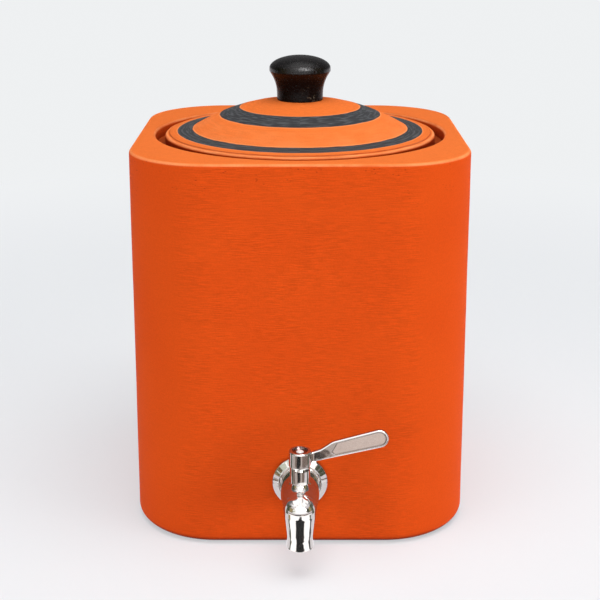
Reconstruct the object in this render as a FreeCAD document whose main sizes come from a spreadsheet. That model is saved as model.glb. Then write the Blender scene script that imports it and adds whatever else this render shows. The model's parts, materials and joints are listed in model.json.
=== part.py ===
import FreeCAD, Part
import math
import os
import Sketcher
from FreeCAD import Base, Placement, Rotation, Vector

# Clay water pot with a lever tap.  Millimetres; origin at the centre of the pot's base, +Z up,
# the tap on the -Y side, the lever pointing to +X when the tap is shut.

doc = FreeCAD.newDocument("clay_water_pot")

# Driving dimensions: millimetres, or degrees where the note says so.
SIZES = {
    # The pot, of fired clay
    "pot_width": 250,  # pot, side of the square plan at the rim
    "pot_height": 291,  # pot, floor to rim
    "wall_flare": 3,  # pot, how far each wall leans out from rim to base
    "pot_corner_radius": 61.5,  # pot, upright corner at the rim
    "wall_thickness": 10,  # pot, side walls
    "floor_thickness": 14,  # pot, floor
    "base_edge_radius": 8,  # pot, rounding under the base
    "rim_edge_radius": 5,  # pot, rounding round the top
    "cavity_edge_radius": 8,  # pot, rounding inside at the floor
    "rim_land": 13,  # pot, width of the top at the middle of a side
    "opening_lip_radius": 3,  # pot, rounding of the opening
    "ledge_depth": 9,  # pot, lid ledge below the rim
    "ledge_thickness": 11,  # pot, clay under the lid ledge
    "ledge_width": 15,  # pot, lid ledge from the opening to the mouth
    "mouth_edge_radius": 2,  # pot, rounding of the mouth
    # The lid, its knob and what holds the knob
    "lid_gap": 7.3,  # lid, gap round the rim in the opening
    "lid_rim_thickness": 9.4,  # lid, rim at its edge
    "lid_rim_rise": 2.2,  # lid, rise of the rim from its edge to the dome
    "lid_rim_radius": 3,  # lid, rounding of the rim's top edge and of the dome's foot
    "lid_edge_radius": 1.5,  # lid, rounding of the rim's lower edge and of the locating ring
    "lid_wall": 8,  # lid, thickness of the dome
    "lid_shelf": 20.7,  # lid, rim from its edge to the foot of the dome
    "dome_shoulder_offset": 2,  # lid, where the dome's two slopes meet, outside the dome's middle
    "dome_shoulder_rise": 16.9,  # lid, that meeting above the dome's foot
    "dome_top_rise": 5,  # lid, knob seat above that meeting
    "dome_straight": 7.5,  # lid, straight part of the upper slope beside the curve
    "locating_clearance": 2,  # lid, locating ring inside the mouth
    "locating_thickness": 8,  # lid, locating ring
    "locating_depth": 10,  # lid, locating ring below the ledge
    "knob_base_radius": 17.8,  # knob, base
    "knob_base_edge": 0.7,  # knob, rounding of its base
    "knob_seat_margin": 1.2,  # lid, flat seats round the knob's base and its washer
    "knob_neck_height": 9,  # knob, straight neck
    "knob_neck_curve": 45,  # knob, curve of the neck into the cap
    "knob_flare": 3.4,  # knob, crease under the cap outside the base
    "knob_flare_height": 11.9,  # knob, crease above the straight neck
    "knob_cap_overhang": 2.4,  # knob, cap outside the crease
    "knob_cap_foot": 1.6,  # knob, cap's lower corner above the crease
    "knob_cap_foot_curve": 2,  # knob, rounding of that corner
    "knob_cap_side": 8,  # knob, height of the cap's side
    "knob_cap_shoulder_curve": 6.6,  # knob, rounding of that corner
    "knob_crown_width": 14.6,  # knob, sloping part of the cap, inwards from its side
    "knob_crown_curve": 35,  # knob, curve from the crown to the cap's side
    "knob_crown_rise": 3.3,  # knob, top above the cap's upper corner
    "knob_screw_radius": 2.5,  # knob screw, thread
    "knob_screw_grip": 15,  # knob screw, length held in the knob
    "knob_screw_head_radius": 4.8,  # knob screw, head
    "knob_screw_head_height": 3,  # knob screw, head
    "knob_screw_head_round": 1.8,  # knob screw, rounding of its head
    "knob_screw_clearance": 0.7,  # lid, hole round the knob screw
    "knob_washer_radius": 9,  # knob washer and cushion
    "knob_washer_thickness": 1.2,  # knob washer
    "knob_cushion_thickness": 1.6,  # rubber cushion under the lid
    "thread_clearance": 0.1,  # all threads, radial gap between thread and tapped hole
    "metal_edge": 0.5,  # turned metal, rounding of its outer edges
    # The tap's fixed pieces; heights are above the tap's axis
    "tap_height": 52.4,  # tap, axis above the base
    "spot_face_depth": 0.8,  # pot, upright seats ground on the leaning wall
    "spot_face_margin": 1,  # pot, those seats outside the gaskets
    "shank_radius": 8,  # shank, thread
    "shank_hole_clearance": 1,  # pot, hole round the shank
    "shank_bore_radius": 4.4,  # shank, water way
    "shank_end_margin": 4,  # shank, thread past the lock nut
    "collar_radius": 15.2,  # shank, collar
    "collar_thickness": 2.6,  # shank, collar
    "gasket_radius": 17.6,  # rubber gaskets
    "gasket_thickness": 2,  # rubber gaskets
    "flange_radius": 20.4,  # wall flange
    "flange_edge": 1.3,  # wall flange, thickness at the edge
    "flange_crown": 4,  # wall flange, thickness at the collar
    "flange_crown_margin": 0.8,  # wall flange, its crown outside the collar
    "inner_washer_radius": 15,  # inner washer
    "inner_washer_thickness": 1.5,  # inner washer
    "nut_flats": 24,  # lock nut, across the flats
    "nut_thickness": 7,  # lock nut
    "barrel_radius": 14.2,  # tap body, barrel at the collar
    "barrel_straight": 13,  # tap body, parallel part of the barrel
    "barrel_curve": 40,  # tap body, curve of the barrel into the bulb
    "stem_offset": 24.7,  # tap body, stem axis from the barrel's rear face
    "spout_offset": 12,  # tap body, spout axis from the stem axis
    "bulb_radius": 11.6,  # tap body, bulb over the spout
    "bulb_drop": 4,  # tap body, bulb below the tap's axis
    "waist_radius": 9.2,  # tap body, spout's waist
    "waist_drop": 20,  # tap body, waist below the tap's axis
    "spout_curve": 16,  # tap body, curves of the spout's side
    "outlet_radius": 9.9,  # tap body, spout's lip
    "outlet_drop": 29.4,  # tap body, lip below the tap's axis
    "outlet_wall": 1.6,  # tap body, wall at the lip
    "outlet_depth": 7,  # tap body, wide part of the outlet
    "spout_bore_radius": 4,  # tap body, bore down the spout
    "spout_cone": 6,  # tap body, cone from the bore to the outlet
    "neck_radius": 5.8,  # tap body, threaded neck under the bonnet
    "neck_height": 23.8,  # tap body, neck above the tap's axis
    "ball_radius": 6,  # valve ball
    "ball_bore_radius": 3.2,  # valve ball, water way
    "seat_clearance": 0.05,  # valve seats, film between ball and seat
    "seat_overlap": 2.4,  # valve seats, how far they reach over the ball
    "seat_backing": 1,  # valve seats, thickness behind the ball
    "chamber_clearance": 0.8,  # tap body, ball chamber round the ball
    "seal_slip": 0.05,  # seals and seats, gap in their pockets
    "nose_radius": 9.6,  # shank, nose screwed into the barrel
    "face_ring_cord": 0.85,  # face O-ring, radius of its cord
    "bonnet_wall": 1.4,  # bonnet, outside the neck
    "bonnet_grip": 9,  # bonnet, length screwed on the neck
    "bonnet_cap": 3.8,  # bonnet, upper face above the neck
    "bonnet_chamfer": 0.9,  # bonnet, chamfer of its lower edge
    "notch_clearance": 0.4,  # bonnet, stop notch below the lug's travel
    "notch_inner_gap": 0.3,  # bonnet, inside of the stop notch from the lug
    # The tap's turning pieces; the lever's heights are above the hub's bottom
    "swing": 90,  # lever, travel from shut to open, degrees
    "stem_radius": 3,  # valve stem
    "stem_running_gap": 0.05,  # valve stem, radial gap in its bores
    "stem_collar_radius": 4,  # valve stem, collar
    "stem_collar_lift": 0.4,  # valve stem, collar above the ball chamber
    "stem_collar_thickness": 1.6,  # valve stem, collar
    "stem_float": 0.1,  # valve stem, end float under the thrust washer
    "thrust_washer_thickness": 1,  # thrust washer
    "tang_length": 4.6,  # valve stem, tang in the ball
    "tang_thickness": 1.9,  # valve stem, tang in the ball
    "tang_reach": 2.6,  # valve stem, tang below the collar
    "slot_clearance": 0.15,  # valve ball, slot round the tang
    "stem_ring_cord": 0.6,  # stem O-rings, radius of the cord
    "stem_ring_low": 14,  # stem O-rings, lower one above the tap's axis
    "stem_ring_step": 4.5,  # stem O-rings, upper one above the lower one
    "square_flats": 4.2,  # valve stem, square across the flats
    "square_height": 5.4,  # valve stem, square
    "hub_rim": 2.25,  # lever, hub's rim round the dish
    "button_clearance": 0.35,  # lever, gap between the screw's head and the button
    "hub_gap": 0.4,  # lever, hub above the bonnet
    "hub_relief": 1,  # lever, round recess below the square hole
    "hub_edge_radius": 0.7,  # lever, rounding of the hub's top edge
    "dish_shelf": 1.05,  # lever, dish outside the button
    "dish_depth": 1.2,  # lever, dish in the hub's top
    "button_radius": 4.6,  # index button, disc
    "button_thickness": 1,  # index button, disc
    "button_dome_radius": 2.4,  # index button, raised middle
    "button_dome_height": 0.8,  # index button, raised middle
    "button_dome_slope": 0.5,  # index button, slope round the raised middle
    "button_dome_round": 0.7,  # index button, rounding of that top
    "handle_screw_radius": 1.25,  # handle screw, thread
    "handle_screw_clearance": 0.4,  # lever, hole round the handle screw
    "handle_screw_grip": 5,  # handle screw, length held in the stem
    "handle_screw_head_radius": 2.6,  # handle screw, head
    "handle_screw_head_height": 1.8,  # handle screw, head
    "handle_web": 1.2,  # lever, web under the handle screw's head
    "lug_centre": 75,  # lever, stop lug when shut, from the front towards +X, degrees
    "lug_width": 22,  # lever, stop lug, degrees
    "lug_margin": 2.5,  # bonnet, notch past the lug at each stop, degrees
    "lug_height": 2,  # lever, stop lug below the hub
    "lug_inner_radius": 5,  # lever, inside of the stop lug
    "blade_thickness": 3,  # lever, blade
    "blade_tilt": 14.2,  # lever, blade above level, degrees
    "blade_start": 22,  # lever, blade's first end from the stem axis
    "blade_start_rise": 12.6,  # lever, middle of that end above the hub's bottom
    "blade_start_half": 6,  # lever, half the blade's height at that end
    "blade_end_half": 6.95,  # lever, half the blade's height at the tip
    "blade_length": 41.6,  # lever, blade from that end to the tip
    "tip_flat": 0.35,  # lever, half the flat part of the tip
    "arm_root_bottom": 2.9,  # lever, arm's lower edge at the hub
    "arm_root_drop": 1.7,  # lever, arm's upper edge at the hub, below the hub's top
    "arm_bend": 14.3,  # lever, where the arm starts to rise, from the stem axis
    "arm_bend_lift": 0.8,  # lever, arm's upper edge there, above the hub's top
    "arm_curve": 12,  # lever, curves of the arm's upper edge
    "arm_top_run": 2.5,  # lever, where the arm's upper edge joins the blade, along the blade
    "panel_rim": 1.7,  # lever, raised rim round the bare panel
    "panel_depth": 0.7,  # lever, depth of the bare panel
    "panel_point_drop": 1.7,  # lever, panel's slanted end, its point below the middle line
    "panel_low_run": 2,  # lever, panel's lower corner along the blade
    "panel_high_run": 5.5,  # lever, panel's upper corner along the blade
}

sheet = doc.addObject("Spreadsheet::Sheet", "Sizes")
for row, (alias, number) in enumerate(SIZES.items(), start=1):
    sheet.set("A%d" % row, alias.replace("_", " "))
    sheet.set("B%d" % row, str(number))
    sheet.setAlias("B%d" % row, alias)
doc.recompute()

# --- Places that several pieces share, as expressions over the sheet -------------------------
LEAN = "atan(Sizes.wall_flare / Sizes.pot_height)"
WALL_FACE = "(Sizes.pot_width / 2 + Sizes.wall_flare * (1 - Sizes.tap_height / Sizes.pot_height))"
LEDGE = "(Sizes.pot_height - Sizes.ledge_depth)"
OPENING_RADIUS = "(Sizes.pot_width / 2 - Sizes.rim_land)"
MOUTH_RADIUS = "(" + OPENING_RADIUS + " - Sizes.ledge_width)"

# lid and knob: heights are above the ledge
LID_RADIUS = "(" + OPENING_RADIUS + " - Sizes.lid_gap)"
DOME_FOOT_RADIUS = "(" + LID_RADIUS + " - Sizes.lid_shelf)"
DOME_FOOT = "(Sizes.lid_rim_thickness + Sizes.lid_rim_rise)"
KNOB_SEAT_RADIUS = "(Sizes.knob_base_radius + Sizes.knob_seat_margin)"
SHOULDER_RADIUS = "((" + DOME_FOOT_RADIUS + " + " + KNOB_SEAT_RADIUS + ") / 2 + Sizes.dome_shoulder_offset)"
SHOULDER = "(" + DOME_FOOT + " + Sizes.dome_shoulder_rise)"
KNOB_SEAT = "(" + SHOULDER + " + Sizes.dome_top_rise)"
DOME_UNDERSIDE = "(" + KNOB_SEAT + " - Sizes.lid_wall)"
UPPER_RUN = "(" + SHOULDER_RADIUS + " - " + KNOB_SEAT_RADIUS + ")"
LOWER_RUN = "(" + DOME_FOOT_RADIUS + " - " + SHOULDER_RADIUS + ")"
UPPER_SLOPE = "atan(Sizes.dome_top_rise / " + UPPER_RUN + ")"
LOWER_SLOPE = "atan(Sizes.dome_shoulder_rise / " + LOWER_RUN + ")"
DOME_REACH = "(" + UPPER_RUN + " / cos(" + UPPER_SLOPE + ") - Sizes.dome_straight)"
DOME_CURVE = "(" + DOME_REACH + " / tan((" + LOWER_SLOPE + " - " + UPPER_SLOPE + ") / 2))"

# tap: distances in front of the pot's axis
OUTER_SEAT = "(" + WALL_FACE + " - Sizes.spot_face_depth)"
INNER_SEAT = "(" + WALL_FACE + " - Sizes.wall_thickness + Sizes.spot_face_depth)"
FLANGE_BACK = "(" + OUTER_SEAT + " + Sizes.gasket_thickness)"
COLLAR_BACK = "(" + FLANGE_BACK + " + Sizes.flange_crown)"
BARREL_BACK = "(" + COLLAR_BACK + " + Sizes.collar_thickness)"
STEM_AXIS = "(" + BARREL_BACK + " + Sizes.stem_offset)"
FACE_RING_RADIUS = "((Sizes.nose_radius + Sizes.barrel_radius) / 2)"

# valve: distances from the ball's centre, heights above the tap's axis
CHAMBER_RADIUS = "(Sizes.ball_radius + Sizes.chamber_clearance)"
SEAT_FRONT = "(Sizes.ball_radius - Sizes.seat_overlap)"
SEAT_BACK = "(Sizes.ball_radius + Sizes.seat_backing)"
STEM_COLLAR_BOTTOM = "(" + CHAMBER_RADIUS + " + Sizes.stem_collar_lift)"
STEM_COLLAR_TOP = "(" + STEM_COLLAR_BOTTOM + " + Sizes.stem_collar_thickness)"
THRUST_SEAT = "(" + STEM_COLLAR_TOP + " + Sizes.stem_float + Sizes.thrust_washer_thickness)"
STEM_BORE = "(Sizes.stem_radius + Sizes.stem_running_gap)"
BONNET_RADIUS = "(Sizes.neck_radius + Sizes.bonnet_wall)"
HUB_BOTTOM = "(Sizes.neck_height + Sizes.bonnet_cap + Sizes.hub_gap)"
SQUARE_BOTTOM = "(" + HUB_BOTTOM + " + Sizes.hub_relief)"

# lever: heights above the hub's bottom
WEB_BOTTOM = "(Sizes.hub_relief + Sizes.square_height + Sizes.slot_clearance)"
WEB_TOP = "(" + WEB_BOTTOM + " + Sizes.handle_web)"
BUTTON_SEAT = "(" + WEB_TOP + " + Sizes.handle_screw_head_height + Sizes.button_clearance)"
DISH_FLOOR = "(" + BUTTON_SEAT + " + Sizes.button_thickness)"
HUB_HEIGHT = "(" + DISH_FLOOR + " + Sizes.dish_depth)"
DISH_RADIUS = "(Sizes.button_radius + Sizes.dish_shelf)"
HUB_RADIUS = "(" + DISH_RADIUS + " + Sizes.hub_rim)"
TIP_RADIUS = "(Sizes.blade_end_half - Sizes.tip_flat)"

TO_FRONT = Rotation(Vector(1, 0, 0), 90)  # turns a piece's own +Z to the row's -Y
TO_BACK = Rotation(Vector(1, 0, 0), -90)  # turns a piece's own +Z to the row's +Y


def value(expression):
    """The number that an expression over the sheet gives now."""
    return float(sheet.evalExpression(expression))


def new_piece(label, back="0", up="0", rotation=Rotation()):
    """Empty body, placed on the pot's centre plane at a distance in front of its axis."""
    body = doc.addObject("PartDesign::Body", label)
    body.Label = label
    body.Placement = Placement(Vector(), rotation)
    body.setExpression("Placement.Base.y", "-1 * " + back)
    body.setExpression("Placement.Base.z", up)
    return body


def new_sketch(body, name, role, shift=("0", "0", "0")):
    """Empty sketch on one of the body's own origin planes, shifted in that plane's own axes."""
    sketch = body.newObject("Sketcher::SketchObject", name)
    plane = next(item for item in body.Origin.OriginFeatures if item.Role == role)
    sketch.AttachmentSupport = (plane, "")
    sketch.MapMode = "FlatFace"
    for axis, expression in zip("xyz", shift):
        if expression != "0":
            sketch.setExpression("AttachmentOffset.Base." + axis, expression)
    return sketch


def bind(sketch, constraint, name, expression):
    """Add a constraint with a name and tie its value to the sheet."""
    index = sketch.addConstraint(constraint)
    sketch.renameConstraint(index, name)
    sketch.setExpression("Constraints." + name, expression)


def circle_sketch(body, name, role, radius, shift=("0", "0", "0")):
    sketch = new_sketch(body, name, role, shift)
    sketch.addGeometry(Part.Circle(Vector(), Vector(0, 0, 1), value(radius)))
    sketch.addConstraint(Sketcher.Constraint("Coincident", 0, 3, -1, 1))
    bind(sketch, Sketcher.Constraint("Radius", 0, value(radius)), "radius", radius)
    return sketch


def outline_sketch(body, name, role, corners, shift=("0", "0", "0")):
    """Closed outline of straight lines, with a tangent arc at each corner that has a radius.

    A corner is (across, up) or (across, up, radius), each an expression over the sheet.
    """
    sketch = new_sketch(body, name, role, shift)
    count = len(corners)
    points = [Vector(value(corner[0]), value(corner[1]), 0) for corner in corners]
    entries, exits, arcs = list(points), list(points), {}
    for index, corner in enumerate(corners):
        if len(corner) < 3:
            continue
        point, radius = points[index], value(corner[2])
        to_last = (points[index - 1] - point).normalize()
        to_next = (points[(index + 1) % count] - point).normalize()
        half_angle = to_last.getAngle(to_next) / 2
        entries[index] = point + to_last * (radius / math.tan(half_angle))
        exits[index] = point + to_next * (radius / math.tan(half_angle))
        centre = point + (to_last + to_next).normalize() * (radius / math.sin(half_angle))
        turns_left = to_next.cross(to_last).z > 0
        first, last = (entries[index], exits[index]) if turns_left else (exits[index], entries[index])
        start = math.atan2(first.y - centre.y, first.x - centre.x)
        end = math.atan2(last.y - centre.y, last.x - centre.x)
        circle = Part.Circle(centre, Vector(0, 0, 1), radius)
        arcs[index] = (Part.ArcOfCircle(circle, start, end), turns_left)
    for index in range(count):
        sketch.addGeometry(Part.LineSegment(exits[index], entries[(index + 1) % count]))
    for index in range(count):
        across, up = corners[index][0], corners[index][1]
        last_line = (index - 1) % count
        if index in arcs:
            arc = sketch.addGeometry(arcs[index][0])
            arc_in, arc_out = (1, 2) if arcs[index][1] else (2, 1)
            held = sketch.addGeometry(Part.Point(points[index]), True)
            sketch.addConstraint(Sketcher.Constraint("Tangent", last_line, 2, arc, arc_in))
            sketch.addConstraint(Sketcher.Constraint("Tangent", arc, arc_out, index, 1))
            sketch.addConstraint(Sketcher.Constraint("PointOnObject", held, 1, last_line))
            sketch.addConstraint(Sketcher.Constraint("PointOnObject", held, 1, index))
            radius = Sketcher.Constraint("Radius", arc, value(corners[index][2]))
            bind(sketch, radius, "round_%d" % index, corners[index][2])
        else:
            held = index
            sketch.addConstraint(Sketcher.Constraint("Coincident", last_line, 2, index, 1))
        place = Sketcher.Constraint("DistanceX", -1, 1, held, 1, points[index].x)
        bind(sketch, place, "across_%d" % index, across)
        place = Sketcher.Constraint("DistanceY", -1, 1, held, 1, points[index].y)
        bind(sketch, place, "up_%d" % index, up)
    return sketch


def same(first, second):
    """Whether two lengths or volumes agree to within the modeller's own tolerance."""
    return abs(first - second) < Base.Precision.approximation()


def check_cut(feature, volume_before):
    """A cut that points away from the clay or metal would remove nothing."""
    doc.recompute()
    if feature.Shape.Volume > volume_before or same(feature.Shape.Volume, volume_before):
        raise RuntimeError(feature.Label + " removes nothing")
    return feature


def revolve(body, sketch, kind="Revolution", axis="V_Axis", angle=None):
    """Turn a sketch about one of its own axes, as solid or as a groove."""
    before = body.Shape.Volume if kind == "Groove" else 0
    feature = body.newObject("PartDesign::" + kind, sketch.Name + "_turned")
    feature.Profile = sketch
    feature.ReferenceAxis = (sketch, [axis])
    feature.Angle = 360
    if angle:
        feature.Midplane = True
        feature.setExpression("Angle", angle)
    doc.recompute()
    if kind == "Groove":
        check_cut(feature, before)
    return feature


def pad(body, sketch, length, both_ways=False):
    feature = body.newObject("PartDesign::Pad", sketch.Name + "_pad")
    feature.Profile = sketch
    feature.Midplane = both_ways
    feature.setExpression("Length", length)
    doc.recompute()
    return feature


def pocket(body, sketch, length=None, along_normal=False):
    """Cut a sketch to a depth, or through everything where no length is given."""
    before = body.Shape.Volume
    feature = body.newObject("PartDesign::Pocket", sketch.Name + "_pocket")
    feature.Profile = sketch
    feature.Reversed = along_normal
    if length:
        feature.setExpression("Length", length)
    else:
        feature.Type = "ThroughAll"
    return check_cut(feature, before)


def fillet(body, name, radius, wanted):
    """Round the edges of the body's last shape that the test picks."""
    edges = ["Edge%d" % number for number, edge in enumerate(body.Shape.Edges, 1) if wanted(edge)]
    if not edges:
        raise RuntimeError(name + " finds no edge")
    base = body.Tip
    feature = body.newObject("PartDesign::Fillet", name)
    feature.Base = (base, edges)
    feature.setExpression("Radius", radius)
    doc.recompute()
    return feature


def level_edge(edge, height):
    box = edge.BoundBox
    return same(box.ZMin, height) and same(box.ZMax, height)


def is_ring(edge, radius):
    return isinstance(edge.Curve, Part.Circle) and same(edge.Curve.Radius, radius)


def turned(label, corners, back="0", up="0", rotation=Rotation()):
    """Piece that is round about its own Z axis, made from half of its section."""
    body = new_piece(label, back, up, rotation)
    revolve(body, outline_sketch(body, label + "_section", "XZ_Plane", corners))
    return body


def washer(label, outer, inner, thickness, back="0", up="0", rotation=Rotation()):
    corners = [(inner, "0"), (outer, "0"), (outer, thickness), (inner, thickness)]
    return turned(label, corners, back, up, rotation)


def rounded_square(half, radius):
    return [(half, "-1 * " + half, radius), (half, half, radius),
            ("-1 * " + half, half, radius), ("-1 * " + half, "-1 * " + half, radius)]


# --- clay_pot: square thrown-and-slabbed pot with a round opening and a lid ledge ------------
def make_clay_pot():
    body = new_piece("clay_pot")
    base_half = "(Sizes.pot_width / 2 + Sizes.wall_flare)"
    base_corner = "(Sizes.pot_corner_radius + Sizes.wall_flare)"
    plan = outline_sketch(body, "pot_plan", "XY_Plane", rounded_square(base_half, base_corner))
    walls = pad(body, plan, "Sizes.pot_height")
    walls.setExpression("TaperAngle", "-1 * " + LEAN)
    doc.recompute()
    height = value("Sizes.pot_height")
    fillet(body, "base_edge", "Sizes.base_edge_radius", lambda edge: level_edge(edge, 0))
    fillet(body, "rim_edge", "Sizes.rim_edge_radius", lambda edge: level_edge(edge, height))

    floor_lean = "Sizes.wall_flare * (1 - Sizes.floor_thickness / Sizes.pot_height)"
    inset = "(" + floor_lean + " - Sizes.wall_thickness)"
    cavity_plan = outline_sketch(
        body, "cavity_plan", "XY_Plane",
        rounded_square("(Sizes.pot_width / 2 + " + inset + ")",
                       "(Sizes.pot_corner_radius + " + inset + ")"),
        ("0", "0", "Sizes.floor_thickness"))
    cavity = pocket(body, cavity_plan,
                    LEDGE + " - Sizes.ledge_thickness - Sizes.floor_thickness", True)
    cavity.setExpression("TaperAngle", "-1 * " + LEAN)
    doc.recompute()
    floor = value("Sizes.floor_thickness")
    fillet(body, "cavity_edge", "Sizes.cavity_edge_radius", lambda edge: level_edge(edge, floor))

    opening = circle_sketch(body, "opening", "XY_Plane", OPENING_RADIUS,
                            ("0", "0", "Sizes.pot_height"))
    pocket(body, opening, "Sizes.ledge_depth")
    mouth = circle_sketch(body, "mouth", "XY_Plane", MOUTH_RADIUS, ("0", "0", LEDGE))
    pocket(body, mouth, "Sizes.ledge_thickness")
    opening_radius, mouth_radius = value(OPENING_RADIUS), value(MOUTH_RADIUS)
    ledge = value(LEDGE)
    fillet(body, "opening_lip", "Sizes.opening_lip_radius",
           lambda edge: is_ring(edge, opening_radius) and level_edge(edge, height))
    fillet(body, "mouth_edge", "Sizes.mouth_edge_radius",
           lambda edge: is_ring(edge, mouth_radius) and level_edge(edge, ledge))

    # upright seats ground outside and inside the leaning wall, and the hole for the shank
    seat_radius = "(Sizes.gasket_radius + Sizes.spot_face_margin)"
    outer_seat = circle_sketch(body, "outer_spot_face", "XZ_Plane", seat_radius,
                               ("0", "Sizes.tap_height", OUTER_SEAT))
    pocket(body, outer_seat, "Sizes.wall_thickness", True)
    inner_seat = circle_sketch(body, "inner_spot_face", "XZ_Plane", seat_radius,
                               ("0", "Sizes.tap_height", INNER_SEAT))
    pocket(body, inner_seat, "Sizes.wall_thickness")
    hole = circle_sketch(body, "tap_hole", "XZ_Plane",
                         "(Sizes.shank_radius + Sizes.shank_hole_clearance)",
                         ("0", "Sizes.tap_height", "0"))
    pocket(body, hole, None, True)
    return body


# --- clay_lid: turned lid with a locating ring below and a flat seat for the knob ------------
def make_clay_lid():
    hole = "(Sizes.knob_screw_radius + Sizes.knob_screw_clearance)"
    ring_outer = "(" + MOUTH_RADIUS + " - Sizes.locating_clearance)"
    ring_inner = "(" + ring_outer + " - Sizes.locating_thickness)"
    corners = [
        (hole, DOME_UNDERSIDE),
        ("(Sizes.knob_washer_radius + Sizes.knob_seat_margin)", DOME_UNDERSIDE),
        (SHOULDER_RADIUS, SHOULDER + " - Sizes.lid_wall", "(" + DOME_CURVE + " - Sizes.lid_wall)"),
        (ring_inner, DOME_FOOT + " - Sizes.lid_wall", "Sizes.lid_rim_radius"),
        (ring_inner, "-1 * Sizes.locating_depth", "Sizes.lid_edge_radius"),
        (ring_outer, "-1 * Sizes.locating_depth", "Sizes.lid_edge_radius"),
        (ring_outer, "0"),
        (LID_RADIUS, "0", "Sizes.lid_edge_radius"),
        (LID_RADIUS, "Sizes.lid_rim_thickness", "Sizes.lid_rim_radius"),
        (DOME_FOOT_RADIUS, DOME_FOOT, "Sizes.lid_rim_radius"),
        (SHOULDER_RADIUS, SHOULDER, DOME_CURVE),
        (KNOB_SEAT_RADIUS, KNOB_SEAT),
        (hole, KNOB_SEAT),
    ]
    return turned("clay_lid", corners, up=LEDGE)


# --- lid_knob and what fixes it: screw, washer and rubber cushion from under the lid ---------
def make_knob_pieces():
    tapped = "(Sizes.knob_screw_radius + Sizes.thread_clearance)"
    tapped_depth = "(Sizes.knob_screw_grip + 2 * Sizes.knob_screw_radius)"
    crease_radius = "(Sizes.knob_base_radius + Sizes.knob_flare)"
    crease = "(Sizes.knob_neck_height + Sizes.knob_flare_height)"
    cap_radius = "(" + crease_radius + " + Sizes.knob_cap_overhang)"
    cap_foot = "(" + crease + " + Sizes.knob_cap_foot)"
    cap_shoulder = "(" + cap_foot + " + Sizes.knob_cap_side)"
    top = "(" + cap_shoulder + " + Sizes.knob_crown_rise)"
    corners = [
        (tapped, "0"),
        ("Sizes.knob_base_radius", "0", "Sizes.knob_base_edge"),
        ("Sizes.knob_base_radius", "Sizes.knob_neck_height", "Sizes.knob_neck_curve"),
        (crease_radius, crease),
        (cap_radius, cap_foot, "Sizes.knob_cap_foot_curve"),
        (cap_radius, cap_shoulder, "Sizes.knob_cap_shoulder_curve"),
        ("(" + cap_radius + " - Sizes.knob_crown_width)", top, "Sizes.knob_crown_curve"),
        ("0", top),
        ("0", tapped_depth),
        (tapped, tapped_depth),
    ]
    seat = "(" + LEDGE + " + " + KNOB_SEAT + ")"
    knob = turned("lid_knob", corners, up=seat)

    underside = "(" + LEDGE + " + " + DOME_UNDERSIDE + ")"
    cushion_bottom = "(" + underside + " - Sizes.knob_cushion_thickness)"
    washer_bottom = "(" + cushion_bottom + " - Sizes.knob_washer_thickness)"
    hole = "(Sizes.knob_screw_radius + Sizes.knob_screw_clearance)"
    cushion = washer("knob_cushion", "Sizes.knob_washer_radius", hole,
                     "Sizes.knob_cushion_thickness", up=cushion_bottom)
    plate = washer("knob_washer", "Sizes.knob_washer_radius", hole,
                   "Sizes.knob_washer_thickness", up=washer_bottom)

    clamped = "(Sizes.lid_wall + Sizes.knob_cushion_thickness + Sizes.knob_washer_thickness)"
    screw_corners = [
        ("0", "-1 * Sizes.knob_screw_head_height"),
        ("Sizes.knob_screw_head_radius", "-1 * Sizes.knob_screw_head_height",
         "Sizes.knob_screw_head_round"),
        ("Sizes.knob_screw_head_radius", "0"),
        ("Sizes.knob_screw_radius", "0"),
        ("Sizes.knob_screw_radius", clamped + " + Sizes.knob_screw_grip"),
        ("0", clamped + " + Sizes.knob_screw_grip"),
    ]
    screw = turned("knob_screw", screw_corners, up=washer_bottom)
    return [knob, cushion, plate, screw]


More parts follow.
